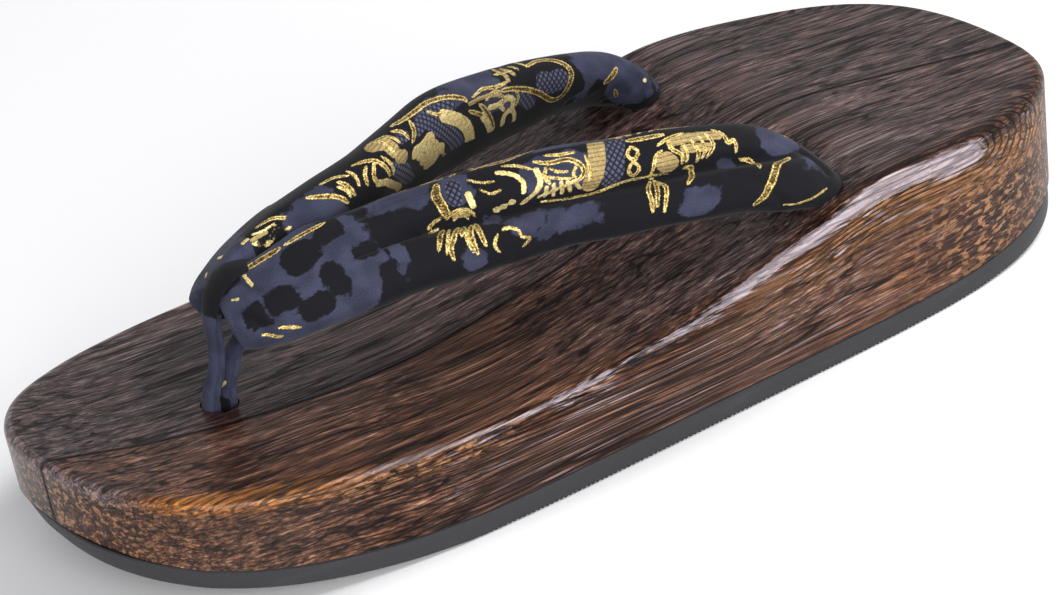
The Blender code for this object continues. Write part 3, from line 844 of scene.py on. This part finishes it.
# The cloth's pattern in millimetres: each stroke is its width and then places, along the strap from the
# nose and across it. On the top face across is 0 at the crease and grows outward; on the inner face it's
# 0 in the middle of the underside and grows inward. Patches are from and to along, from and to across.
brocade = {
    "top": {
        "outline": [
            (0.9, (53.3, -1.6), (55.2, -3.2), (57.5, -3.6), (59.0, -2.8), (60.0, -0.8)),
            (0.7, (54.9, -0.8), (57.0, -2.4), (58.3, -0.6)),
            (0.7, (69.0, -12.0), (72.0, -11.0), (74.6, -9.0)),
            (0.8, (78.0, -11.6), (80.5, -11.0), (84.0, -10.8)),
            (0.7, (86.0, -9.6), (86.4, -6.6), (85.8, -3.2)),
            (0.7, (77.4, -8.6), (76.6, -6.4), (77.6, -4.4)),
            (0.7, (83.6, -7.6), (82.6, -5.8), (83.0, -4.6)),
            (0.7, (53.4, 1.2), (52.0, 4.4), (50.2, 8.4)), (0.6, (56.6, 8.8), (56.0, 6.0), (57.0, 3.0)),
            (0.8, (103.2, -8.4), (106.0, -9.6), (110.0, -10.4)),
            (0.7, (108.6, -8.0), (109.4, -5.4), (109.0, -3.0)),
            (0.7, (113.2, -8.8), (113.8, -5.6), (112.8, -3.0)),
            (0.9, (48.7, -0.4), (50.5, -1.8), (52.2, -2.4)), (0.8, (48.4, 0.9), (51.1, 0.1)),
            (1.2, (52.0, 0.9), (50.5, 3.6), (48.6, 7.0)),
            (1.2, (55.4, 1.3), (53.3, 4.9), (51.7, 7.2), (51.6, 9.8)), (1.1, (56.8, 1.5), (55.2, 4.8)),
            (1.2, (58.5, 1.6), (57.3, 5.2), (57.7, 9.4)), (1.2, (59.4, 1.4), (59.5, 4.4), (60.0, 7.8)),
            (0.7, (63.2, 5.8), (62.0, 8.0), (62.7, 10.0)),
            (0.7, (64.5, 5.0), (66.4, 4.9), (68.0, 6.0), (68.2, 7.6)),
            (0.7, (68.4, 7.6), (70.0, 8.4), (68.2, 10.0)),
            (2.3, (53.8, -11.0), (52.8, -8.3), (53.0, -6.3), (53.3, -4.3), (53.7, -2.8)),
            (1.4, (8.0, -7.8), (12.0, -8.2), (17.0, -8.6)),
            (1.0, (18.5, -8.7), (24.0, -9.0), (28.0, -9.8)),
            (0.6, (78.0, -8.2), (79.5, -7.0), (81.5, -6.6)),
            (0.6, (76.8, -6.6), (79.0, -5.6), (82.0, -4.8)),
            (1.1, (75.6, -10.6), (78.5, -9.4), (82.0, -9.4), (84.6, -7.6), (84.8, -5.4), (82.5, -3.6)),
            (0.8, (97.4, -9.8), (98.6, -8.2), (97.2, -6.4), (95.9, -8.0), (97.4, -9.8)),
            (0.8, (96.7, -6.2), (97.9, -4.4), (96.6, -2.5), (95.3, -4.2), (96.7, -6.2)),
            (1.3, (97.0, -11.6), (101.0, -11.2), (105.5, -11.0)),
            (0.7, (75.0, 0.0), (81.5, 1.0), (88.0, 0.6), (94.0, -1.0), (100.0, -1.0), (105.0, -0.8)),
            (0.8, (100.8, -1.5), (101.8, -5.5), (103.8, -7.0)),
            (0.9, (106.0, -9.5), (106.0, -7.0), (108.0, -5.0), (108.0, -3.0)),
            (0.9, (111.0, -8.2), (112.0, -5.0), (111.6, -2.4)),
            (0.9, (115.0, -9.0), (116.0, -6.0), (114.0, -3.0)),
            (0.9, (117.0, -10.0), (119.0, -8.0), (119.5, -5.5), (121.0, -6.0), (121.2, -3.0)),
            (1.2, (108.6, -1.4), (110.5, -1.0), (110.0, 2.0), (108.2, 4.4)),
            (1.0, (100.6, 0.3), (99.0, 3.4), (99.2, 6.6), (99.0, 8.8)),
            (1.0, (101.5, 0.8), (101.0, 4.0), (100.3, 7.8)),
            (1.0, (101.2, 0.2), (103.0, 3.2), (102.8, 5.6), (101.8, 9.4)),
            (1.1, (122.4, -1.0), (124.6, -0.4), (125.6, 1.6), (125.2, 4.0)),
            (1.6, (133.5, 0.6), (129.7, 2.8), (127.4, 7.5), (126.0, 10.4), (123.4, 13.0)),
            (0.7, (5.5, 8.0), (7.5, 9.6), (9.0, 10.6)), (0.7, (9.2, 8.4), (11.0, 9.4), (12.8, 10.6)),
            (0.5, (136.0, -7.0), (142.0, -4.0), (146.0, 0.0)),
            (0.6, (131.0, 13.5), (136.0, 12.5), (140.0, 10.0)),
            (0.5, (62.5, -7.5), (64.5, -6.0), (67.0, -6.4)),
            (0.5, (60.5, -10.5), (63.0, -9.0), (66.0, -8.6)),
        ],
        "fill": [
            (0.9, (76.6, -4.2), (76.1, -1.2)), (0.9, (78.1, -4.4), (78.0, -0.8)),
            (0.9, (79.7, -4.5), (80.0, -0.9)), (0.9, (81.2, -4.4), (81.8, -1.1)),
            (0.9, (82.6, -4.2), (84.0, -1.6)), (1.6, (59.6, -6.8), (59.9, -4.0)),
            (1.9, (65.0, -1.4), (65.1, -1.4)), (1.8, (66.6, -1.9), (66.7, -1.9)),
            (1.8, (68.6, -2.7), (68.7, -2.7)),
            (1.1, (67.4, -10.5), (70.3, -9.3), (72.0, -7.0), (71.6, -4.6)),
            (1.3, (75.4, -8.6), (75.6, -6.0), (74.0, -3.5), (71.0, -1.3)),
            (0.9, (83.0, -4.4), (78.6, -2.6), (74.6, -1.6)), (0.8, (7.7, -6.4), (8.2, -3.4)),
            (0.6, (3.6, -2.6), (4.6, -2.0)),
        ],
        "dull": [
            (4.2, (89.5, -12.5), (88.5, -8.0), (86.7, -3.4), (86.4, -2.2)),
            (4.8, (104.2, -4.2), (104.8, -3.4)), (2.6, (106.5, -8.6), (112.0, -8.8), (117.5, -8.0)),
            (2.2, (109.0, -6.2), (115.0, -5.4)), (1.6, (55.5, -2.2), (58.4, -1.8)),
        ],
        "scales": [
            (4.8, (94.5, -13.0), (92.2, -6.0), (91.2, -2.8)), (3.4, (57.0, -9.5), (56.4, -6.2)),
        ],
        "blue": [
            (-3, 36, -14, 17), (38, 41, 0, 10), (38, 52, -13, -6), (54, 60, 7, 13), (61, 66, 0.5, 3),
            (72, 88, 3, 9.5), (107, 116, 5, 12), (117, 121, -1.5, 1), (127, 138, -10, -1),
            (135, 139, 1, 6), (71, 86, -12, -3), (66, 76, 2, 7), (54, 60, -12, -5),
        ],
        "dark": [
            (16, 24, -7.5, -0.5), (21, 27, 0, 9), (29, 36, -1.5, 3.5), (33, 38, 4, 13), (35, 50, -7, 1),
            (41, 54, 1, 15), (3, 9, 0, 7), (24, 31, -11, -4), (8, 15, 0, 6), (14, 22, 6, 10.5),
        ],
    },
    "inner": {
        "outline": [
            (0.8, (16.5, 19.2), (20.0, 19.2), (23.0, 17.6), (25.0, 16.4)),
            (0.8, (16.8, 12.3), (20.5, 12.0)), (1.1, (21.0, 11.8), (25.5, 11.8), (28.0, 11.2)),
            (1.1, (29.0, 19.5), (32.5, 17.6), (35.5, 15.6), (37.0, 13.2)),
            (1.0, (37.5, 18.5), (38.8, 16.4), (39.3, 13.6)),
            (0.7, (36.7, 17.6), (37.9, 15.8), (38.2, 13.8)),
            (0.9, (43.0, 19.8), (46.0, 18.6), (48.0, 16.8), (49.0, 14.2), (49.4, 12.0)),
            (0.9, (45.0, 17.5), (43.6, 16.0), (43.2, 13.8)),
            (0.9, (47.3, 17.5), (45.3, 14.5), (46.0, 12.4)),
            (0.7, (49.5, 17.0), (50.6, 14.0), (50.6, 11.5)),
            (0.8, (50.0, 22.0), (54.6, 19.2), (56.0, 15.8)),
            (1.0, (71.0, 2.0), (73.4, -1.6), (73.8, -4.6)),
            (1.3, (58.5, 20.0), (61.7, 18.6), (66.5, 17.5), (70.7, 17.0), (75.0, 15.6), (79.0, 13.2),
             (79.8, 12.0)), (1.2, (62.8, 17.0), (61.4, 14.6), (59.3, 13.4)),
            (1.0, (80.0, 9.4), (84.8, 6.6)), (1.2, (83.6, 9.8), (86.5, 6.8), (90.2, 1.4)),
            (1.5, (92.0, 11.0), (96.0, 10.4), (100.0, 9.2), (105.0, 7.0), (109.6, 4.4), (113.0, 4.8),
             (114.6, 8.8), (115.0, 12.2), (112.8, 14.8), (108.6, 15.8), (104.0, 14.6)),
            (0.8, (100.4, 17.0), (101.0, 14.4)), (0.8, (102.8, 17.0), (103.8, 15.0)),
            (0.8, (93.5, 15.5), (99.0, 14.8)),
            (0.8, (82.0, 12.2), (86.0, 13.0), (90.5, 12.2), (95.0, 12.4)),
            (0.7, (86.0, 10.2), (89.0, 11.4), (92.0, 10.6)),
            (0.7, (91.5, 7.0), (92.6, 8.8), (94.2, 9.4)), (0.8, (96.8, 10.2), (97.8, 7.6), (97.0, 5.6)),
            (0.7, (41.0, 19.5), (41.6, 17.0), (41.2, 14.8)),
            (0.8, (51.5, 21.5), (52.6, 18.6), (52.8, 15.2)),
            (0.7, (34.0, 20.5), (37.5, 20.0), (40.5, 18.2)),
            (0.9, (56.8, 19.0), (58.6, 17.0), (58.8, 14.6)),
            (0.8, (68.6, 15.4), (70.4, 13.4), (72.6, 12.8)),
            (1.4, (125.8, 8.6), (127.6, 10.8), (129.4, 13.0)), (1.3, (130.8, 7.8), (133.8, 6.0)),
        ],
        "fill": [
            (0.7, (13.5, 14.6), (17.0, 14.2), (21.0, 14.4)),
            (0.6, (13.0, 16.2), (16.0, 15.8), (18.5, 16.2)), (0.8, (20.0, 15.8), (22.5, 15.4)),
            (0.6, (14.5, 18.0), (17.0, 17.6), (20.0, 17.8)), (0.7, (11.5, 17.6), (13.0, 17.8)),
            (1.7, (46.0, 12.4), (48.4, 11.0), (50.0, 9.0), (53.0, 5.5), (55.2, 2.4), (57.0, -1.6)),
            (6.4, (64.4, 6.6), (65.6, 6.0)), (4.6, (61.8, 9.0), (65.0, 9.4)),
            (3.2, (59.4, 10.4), (61.5, 9.8)), (5.0, (66.0, 3.2), (66.8, 2.8)),
            (4.0, (68.0, 4.8), (69.0, 4.4)), (1.2, (70.6, 4.6), (70.8, 2.6)),
            (3.2, (72.3, 12.0), (76.4, 8.6), (79.5, 5.0), (81.3, 1.5), (84.0, -5.0)),
            (2.2, (84.8, 6.6), (87.0, 4.2), (89.2, 1.0)),
            (1.5, (87.2, 8.0), (90.4, 7.9), (94.0, 8.6), (96.0, 7.4)),
            (1.7, (96.0, 7.4), (95.6, 5.4), (93.2, 4.0), (93.4, 1.5)),
            (1.3, (95.6, 5.4), (97.4, 2.8), (98.0, 0.8)), (1.2, (90.4, 7.8), (92.4, 6.0)),
            (1.0, (139.8, 14.4), (140.0, 14.6)),
        ],
        "dull": [
            (1.0, (13.5, 17.0), (17.5, 16.9)), (0.9, (19.0, 16.9), (22.5, 16.5)),
            (3.6, (50.0, 20.5), (52.4, 18.8), (53.2, 16.0)), (3.0, (53.6, 13.8), (55.0, 12.8)),
            (1.5, (95.3, 17.0), (96.0, 14.8), (95.6, 12.8)), (1.5, (98.0, 16.6), (98.6, 13.8)),
            (1.0, (80.5, 11.0), (84.0, 11.2), (88.5, 10.8), (92.0, 9.6)),
        ],
        "scales": [
            (4.0, (52.0, 12.5), (54.5, 9.0), (56.5, 5.0), (59.0, 1.0), (60.5, -2.5)),
            (2.6, (56.5, 16.5), (58.5, 15.8)),
            (3.4, (62.8, 14.4), (67.0, 14.4), (71.0, 14.2), (74.8, 13.4)),
            (4.2, (67.5, 11.2), (70.7, 9.3), (73.5, 6.2), (76.0, 2.5), (78.0, -1.5)),
            (5.4, (106.5, 9.6), (109.0, 9.2), (111.6, 9.8)), (3.6, (99.5, 7.0), (102.5, 4.6)),
        ],
        "blue": [
            (-3, 13, 9, 24), (21, 37, 3, 20), (64, 76, 12, 17), (76, 94, 11.5, 20), (83, 98, 4, 12),
            (116, 142, 9.5, 20), (119, 123, 3, 12), (128, 142, 4, 14), (8, 24, 2, 12),
        ],
        "dark": [
            (36, 51, -5, 13), (40, 46, 13, 22), (56, 73, -8, 5), (83, 94, -6, 6), (93, 108, 9, 14),
            (111, 120, 0, 10), (123, 127, 2, 9),
        ],
    },
    "kinds": ("outline", "fill", "dull", "scales"),
    "reach": 4.0,                 # distances are kept up to this many millimetres
    "taper": {"outline": 0.5},    # how much thinner these strokes get at their ends
    "deepestBlue": 3,
    "darkSlope": 1.3,
    "plain": -2.4,                # how far into the dark the cloth is where no patch is charted
    "topEnds": -13.0,             # on the near strap the inner face's pattern takes over past here
    "innerEnds": -6.0,            # on the far strap the top face's pattern takes over past here
}


def strokeDistance(along, across, strokes, taper=0.0):
    # millimetres from each place to the nearest stroke's edge, below 0 inside; the ends can taper
    nearest = np.full(len(along), brocade["reach"])
    for width, *places in strokes:
        steps = (len(places) - 1) * (4 if len(places) > 2 else 1)
        line = throughPoints(np.array(places, float), np.linspace(0, len(places) - 1, steps + 1))
        for i in range(steps):
            start, run = line[i], line[i + 1] - line[i]
            share = ((along - start[0]) * run[0] + (across - start[1]) * run[1]) / (run @ run)
            share = np.clip(share, 0, 1)
            gap = np.hypot(along - start[0] - share * run[0], across - start[1] - share * run[1])
            thin = 1 - taper * np.abs(2 * (i + share) / steps - 1) ** 3
            nearest = np.minimum(nearest, gap - width / 2 * thin)
    return nearest


def patchDepth(along, across, patches):
    # millimetres inside the deepest of some patches, below 0 outside them all
    deepest = np.full(len(along), -brocade["reach"])
    for first, last, low, high in patches:
        halfAlong, halfAcross = (last - first) / 2, (high - low) / 2
        offAlong = np.abs(along - first - halfAlong) / halfAlong
        offAcross = np.abs(across - low - halfAcross) / halfAcross
        depth = (1 - (offAlong ** 3 + offAcross ** 3) ** (1 / 3)) * min(halfAlong, halfAcross)
        deepest = np.maximum(deepest, depth)
    return deepest


def readChart(chart, along, across):
    values = {kind: strokeDistance(along, across, chart[kind], brocade["taper"].get(kind, 0.0))
              for kind in brocade["kinds"]}
    blue, dark = patchDepth(along, across, chart["blue"]), patchDepth(along, across, chart["dark"])
    blue = np.clip(blue, brocade["plain"], brocade["deepestBlue"])
    values["patch"] = np.minimum(blue, -brocade["darkSlope"] * dark)
    return values


def chartStrap(piece, places, along, side):
    # writes the pattern on the strap's vertices while they still lie in their grid
    rows = places.reshape(strap["around"] + 1, strap["along"] + 1, 3)
    reach = np.cumsum(np.linalg.norm(np.diff(rows, axis=0, prepend=rows[:1]), axis=2), axis=0) * 1000
    fromCrease = (reach[strap["around"] // 2] - reach).ravel()
    upper = np.arange(strap["around"] + 1)[:, None] > strap["around"] // 2
    fromUnder = np.where(upper, reach[-1] - reach, -reach).ravel()
    shares = np.linspace(0, 1, strap["measuredAt"])
    middle = strapMiddle(strapAt(shares))
    lengths = np.concatenate([[0], np.cumsum(np.linalg.norm(np.diff(middle, axis=0), axis=1))]) * 1000
    alongCloth = np.interp(along, shares, lengths)
    top = readChart(brocade["top"], alongCloth, fromCrease)
    inner = readChart(brocade["inner"], alongCloth, fromUnder)
    useInner = fromCrease < (brocade["topEnds"] if side > 0 else brocade["innerEnds"])
    values = {name: np.where(useInner, inner[name], top[name]) for name in top}
    values["alongCloth"] = alongCloth
    values["acrossCloth"] = fromCrease if side > 0 else fromUnder
    writeAttributes(piece, values)


def makeStrap(side):
    piece, along, around = makeGrid(strap["along"], strap["around"])
    places = strapPlaces(along, around, side)
    setCoords(piece, places)
    chartStrap(piece, places, along, side)
    closeTube(piece)
    return piece


# Creases pressed in: depth and half the width in millimetres, then places on the cloth as above
creases = {
    "near": [(0.45, 0.7, (29, 1.4), (37, 0.8), (46, 0.2)), (0.45, 0.9, (36, -8.0), (46, -9.4), (56, -9.8)),
             (0.35, 0.8, (43, -5.6), (51, -7.2), (58, -7.6)), (0.55, 0.8, (2, -9), (5.5, -6), (8.5, -1.5)),
             (0.45, 0.8, (2, 1), (5.5, 4), (6.5, 9)), (0.35, 0.9, (5, -14), (9, -12), (15, -12)),
             (0.35, 1.0, (118, 5), (125, 8), (131, 13)), (0.40, 0.9, (132, -4), (138, 0), (141, 6)),
             (0.35, 0.8, (137, -9), (142, -5), (146, -1)), (0.30, 1.2, (66, 12), (72, 9), (76, 11))],
    "far": [(0.40, 0.8, (4, 8), (8, 12), (10, 18)), (0.35, 0.9, (18, 4), (26, 8), (36, 9)),
            (0.35, 0.9, (118, 2), (123, 7), (125, 14)), (0.45, 0.9, (132, 3), (136, 8), (138, 14)),
            (0.30, 1.2, (84, 16), (92, 15), (100, 17)), (0.40, 0.8, (138, 5), (142, 8), (145, 13))],
    "ridge": 0.35,                # the cloth's rise beside a crease, as a share of its depth
    "ridgeOff": 2.2,              # and how far off it is, in half widths
    "plainEnds": 3,               # millimetres at the ends that grow into their creases
    "swell": 0.16,
    # the swelling's waves: millimetres along and across, start
    "waves": [(5.1, 6.0, 0), (8.7, -3.9, 1)],
}


def pressCreases(piece, lines):
    # moves the cloth inward along the creases and lets the padding swell a little between them
    along, across = readAttribute(piece, "alongCloth"), readAttribute(piece, "acrossCloth")
    normals = np.empty(len(piece.data.vertices) * 3)
    piece.data.vertices.foreach_get("normal", normals)
    inward = -creases["swell"] * np.ones(len(along))
    for lengthways, crossways, start in creases["waves"]:
        inward *= np.sin(along / lengthways + across / crossways + start)
    for depth, width, *places in lines:
        gap = strokeDistance(along, across, [(0.0, *places)]) / width
        ridge = creases["ridge"] * np.exp(-(gap - creases["ridgeOff"]) ** 2)
        inward += depth * (np.exp(-gap ** 2) - ridge)
    ends = grown(np.minimum(along, along.max() - along), 0, creases["plainEnds"])
    coords = vertexCoords(piece) - normals.reshape(-1, 3) * (inward * ends / 1000)[:, None]
    coords[:, 2] = np.maximum(coords[:, 2], deckAt(coords[:, 1]) + base["fitGap"])
    setCoords(piece, coords)


cloth = {
    "black": (0.0065, 0.0065, 0.0088, 1),
    "blue": (0.0500, 0.0540, 0.0950, 1),
    "deepBlue": (0.0330, 0.0350, 0.0620, 1),
    "scaleLight": (0.0950, 0.1020, 0.1550, 1),
    "scaleDark": (0.0150, 0.0150, 0.0260, 1),
    "gold": [(0.00, (0.040, 0.024, 0.009)), (0.28, (0.230, 0.150, 0.042)), (0.58, (0.600, 0.440, 0.140)),
             (1.00, (0.950, 0.800, 0.400))],
    "dullGold": [(0.00, (0.045, 0.032, 0.018)), (0.50, (0.300, 0.215, 0.085)),
                 (1.00, (0.620, 0.480, 0.220))],
    "scalePitch": 1.5,
    "scaleSlant": 0.8,
    "ribPitch": 1.1,
    # noises on the cloth: millimetres along and across, place in the noise, detail, roughness
    "noises": {
        "wobble": (0.7, 0.7, 0, 1.0, 0.5),
        "thread": (0.42, 0.42, 2, 2.0, 0.6),
        "ragged": (2.6, 2.6, 5, 4.0, 0.6),
        "clouds": (11, 9, 9, 1.0, 0.5),
        "weave": (0.34, 0.34, 1, 1.0, 0.5),
        "shade": (6, 6, 3, 1.0, 0.5),
        "tooth": (0.38, 0.38, 4, 1.0, 0.5),
        "knots": (1.3, 1.3, 7, 2.0, 0.6),
    },
}


def clothFinish(name):
    # woven brocade: dark ground, blue patches, scales in a lattice and gold thread that stands up a little
    finish = Finish(name)
    kinds = (*brocade["kinds"], "patch", "alongCloth", "acrossCloth")
    outlineGap, fillGap, dullGap, scaleGap, patch, along, across = (
        finish.attribute(kind) for kind in kinds)
    noise = {key: finish.noise(along / length, across / width, place, detail, roughness)
             for key, (length, width, place, detail, roughness) in cloth["noises"].items()}
    thread, weave, knots = noise["thread"], noise["weave"], noise["knots"]
    wobble = (noise["wobble"] - 0.5) * 0.50
    blue = patch + (noise["ragged"] - 0.5) * 4.4 + (noise["clouds"] - 0.5) * 5.0
    blue = blue.between(-0.35, 0.35)
    shade = noise["shade"].between(0.35, 0.65)
    colour = finish.mix(blue, cloth["black"], finish.mix(shade, cloth["deepBlue"], cloth["blue"]))
    # the scales' lattice
    slant = across * cloth["scaleSlant"]
    leftward, rightward = ((line / cloth["scalePitch"]).toAndFro().between(0.06, 0.30)
                           for line in (along + slant, along - slant))
    scale = leftward * rightward
    scales = (scaleGap + wobble).between(0.12, -0.12)
    colour = finish.mix(scales, colour, finish.mix(scale, cloth["scaleDark"], cloth["scaleLight"]))
    # gold: outlines have a duller core, fills shine all over
    tooth = (noise["tooth"] - 0.5) * 0.55
    outline = (outlineGap + wobble * 0.6 + tooth - 0.06).between(0.10, -0.10)
    fill = (fillGap + wobble).between(0.10, -0.10)
    dull = (dullGap + wobble).between(0.12, -0.12)
    core = outlineGap.between(-0.16, -0.36) * 0.45
    goldTone = thread * 1.9 + knots * 1.2 - 0.97
    ribs = (across / cloth["ribPitch"]).toAndFro().between(0.02, 0.2)
    dullTone = thread * 0.9 + knots * 0.5 + ribs * 0.35 - 0.42
    colour = finish.mix(dull, colour, finish.ramp(dullTone, *cloth["dullGold"]))
    colour = finish.mix(fill, colour, finish.ramp(goldTone * 0.9 + 0.24, *cloth["gold"]))
    colour = finish.mix(outline, colour, finish.ramp(goldTone - core, *cloth["gold"]))
    metal = outline.most(fill, dull * 0.7)
    colour = finish.mix(((weave - 0.5) * 0.9 + 0.2) * (1 - metal), colour, cloth["black"])
    height = metal * (0.55 + thread * 0.6) + weave * 0.30 + scales * scale * 0.3 + blue * 0.12
    finish.set(Base_Color=colour, Metallic=metal * 0.50, Roughness=0.86 - metal * 0.42,
               Specular_IOR_Level=0.12, Sheen_Weight=0.07, Sheen_Roughness=0.45,
               Normal=finish.bump(height, 0.00030, 0.8))
    return finish.material


strapCloth = clothFinish("strapBrocade")
strapNear = makeStrap(1)
strapFar = makeStrap(-1)
pressCreases(strapNear, creases["near"])
pressCreases(strapFar, creases["far"])
for piece, name in ((strapNear, "strapNearPadded"), (strapFar, "strapFarPadded")):
    finishPiece(piece, name, ["straps"], strapCloth, 60)
print("straps made", len(strapNear.data.polygons))

# The toe thong: a flat padded cord that goes up in front of the straps' nose, over it and down behind it
thong = {
    "width": 0.0086,
    "thickness": 0.0034,
    "rise": 0.0310,
    "leg": 0.0044,                # its two legs' size in the hole
    "legShape": (0.55, 0.46),     # half a leg's breadth and thickness, as shares of that
    "sunk": 0.0068,
    "along": 260,
    "around": 64,
    "length": 92,                 # of the whole loop and its girth, in millimetres
    "girth": 17,
    "foldDepth": 0.30,
    "foldWidth": 0.30,
    "broadWrinkle": 0.050,        # as shares of the breadth
    "fineWrinkle": 0.035,
    # the pattern's strokes and patches, as on the straps
    "chart": {"outline": [(0.8, (14, 4), (17, 5))],
              "fill": [(1.0, (78, 3), (80, 4)), (1.2, (4, 10), (9, 11))],
              "dull": [], "scales": [], "blue": [(3, 33, -4, 21), (60, 95, -4, 21)],
              "dark": [(1, 7, 2, 9), (22, 27, 5, 13), (84, 92, 1, 8)]},
    # back and rise as shares of the rise, breadth and thickness as shares
    "path": [(-0.045, 0.12, 0.54, 1.08), (0.020, 0.26, 0.46, 1.10), (0.055, 0.44, 0.50, 1.04),
             (0.060, 0.68, 0.78, 1.00), (0.135, 0.87, 0.96, 1.00), (0.280, 0.97, 1.00, 1.00),
             (0.460, 0.92, 0.94, 1.00), (0.510, 0.74, 0.86, 1.00), (0.400, 0.52, 0.80, 1.00),
             (0.205, 0.38, 0.62, 1.04), (0.138, 0.25, 0.54, 1.10), (0.095, 0.12, 0.54, 1.08)],
}


def thongPath():
    # rows of back, height, half the breadth, half the thickness
    deck = float(deckAt(toeHoleY))
    leg = thong["leg"]
    broad, thick = (leg * share for share in thong["legShape"])
    frontLeg, backLeg = ([(back, height, broad, thick) for height in (deck - thong["sunk"], deck)]
                         for back in (-leg / 2, leg / 2))
    loop = [(back * thong["rise"], deck + rise * thong["rise"], broad * thong["width"] / 2,
             thick * thong["thickness"] / 2) for back, rise, broad, thick in thong["path"]]
    return np.array(frontLeg + loop + backLeg[::-1])


def makeThong():
    piece, alongShare, aroundShare = makeGrid(thong["along"], thong["around"])
    rows = thongPath()
    last = len(rows) - 1
    at = alongShare * last
    place = throughPoints(rows, at)
    step = throughPoints(rows, np.minimum(at + 0.05, last)) - throughPoints(rows, np.maximum(at - 0.05, 0))
    run = step[:, :2] / np.linalg.norm(step[:, :2], axis=1)[:, None]
    angle = 2 * math.pi * aroundShare
    thick = place[:, 3] * np.sin(angle)
    fold = 1 - thong["foldDepth"] * np.exp(-(np.sin(angle) / thong["foldWidth"]) ** 2)
    wrinkle = (1 + thong["broadWrinkle"] * np.sin(at * 5.3) * np.sin(angle * 2 + at * 1.7)
               + thong["fineWrinkle"] * np.sin(at * 9.1 + angle * 3))
    setCoords(piece, np.stack([place[:, 2] * np.cos(angle) * fold * wrinkle,
                               toeHoleY + place[:, 0] + run[:, 1] * thick,
                               place[:, 1] - run[:, 0] * thick], axis=1))
    along, across = thong["length"] * alongShare, thong["girth"] * aroundShare
    chart = readChart(thong["chart"], along, across)
    writeAttributes(piece, {**chart, "alongCloth": along, "acrossCloth": across})
    closeTube(piece)
    return piece


toeThong = makeThong()
finishPiece(toeThong, "toeThongCloth", ["toe_thong"], clothFinish("thongBrocade"), 60)
print("thong made", len(toeThong.data.polygons))

# Floor, light and camera
stage = {
    "azimuth": 59.39,
    "elevation": 29.08,
    "roll": -8.29,
    "distance": 1.00632,
    "lens": 146.86,
    "aimRight": -0.00410,         # the aim from the middle of the base, across and up the picture
    "aimUp": -0.00207,
    "aimHeight": 0.020,
    # each softbox: place, size in metres, watts
    "lights": {"softboxAbove": ((0.25, 0.55, 0.95), 0.55, 9), "softboxFront": ((1.1, -0.4, 0.40), 0.8, 13)},
    "floor": (0.9, 0.9, 0.9, 1),
    # the white room is bright low down and dimmer overhead
    "room": [(0.35, (0.80, 0.80, 0.83, 1)), (0.85, (0.30, 0.30, 0.32, 1))],
}


def makeFloor():
    bpy.ops.mesh.primitive_plane_add(size=6, location=(0, 0, 0))
    floor = bpy.context.object
    floor.name = "floor"
    finish = Finish("paleFloor")
    finish.set(Base_Color=stage["floor"], Roughness=0.9)
    floor.data.materials.append(finish.material)


def makeLight(name, place, size, power):
    bpy.ops.object.light_add(type="AREA", location=place)
    light = bpy.context.object
    light.name = name
    light.data.size = size
    light.data.energy = power
    light.rotation_euler = (-Vector(place)).to_track_quat("-Z", "Y").to_euler()


def makeCamera():
    azimuth, elevation, roll = (math.radians(stage[key]) for key in ("azimuth", "elevation", "roll"))
    back = Vector((math.sin(azimuth) * math.cos(elevation), -math.cos(azimuth) * math.cos(elevation),
                   math.sin(elevation)))
    level = Vector((math.cos(azimuth), math.sin(azimuth), 0))
    upright = back.cross(level)
    right = level * math.cos(roll) + upright * math.sin(roll)
    up = upright * math.cos(roll) - level * math.sin(roll)
    aim = Vector((0, 0, stage["aimHeight"])) + right * stage["aimRight"] + up * stage["aimUp"]
    bpy.ops.object.camera_add()
    camera = bpy.context.object
    camera.matrix_world = Matrix((right, up, back)).transposed().to_4x4()
    camera.location = aim + back * stage["distance"]
    camera.data.lens = stage["lens"]
    camera.data.sensor_width = 36
    bpy.context.scene.camera = camera


def makeWorld():
    world = bpy.data.worlds.new("studio")
    bpy.context.scene.world = world
    world.use_nodes = True
    tree = world.node_tree
    direction = tree.nodes.new("ShaderNodeTexCoord")
    axes = tree.nodes.new("ShaderNodeSeparateXYZ")
    ramp = tree.nodes.new("ShaderNodeValToRGB")
    for stop, (position, colour) in zip(ramp.color_ramp.elements, stage["room"]):
        stop.position, stop.color = position, colour
    tree.links.new(direction.outputs["Generated"], axes.inputs["Vector"])
    tree.links.new(axes.outputs["Z"], ramp.inputs["Fac"])
    tree.links.new(ramp.outputs["Color"], tree.nodes["Background"].inputs["Color"])


makeFloor()
for name, (place, size, power) in stage["lights"].items():
    makeLight(name, place, size, power)
makeCamera()
makeWorld()
bpy.context.scene.view_settings.view_transform = "Standard"
print("stage set")
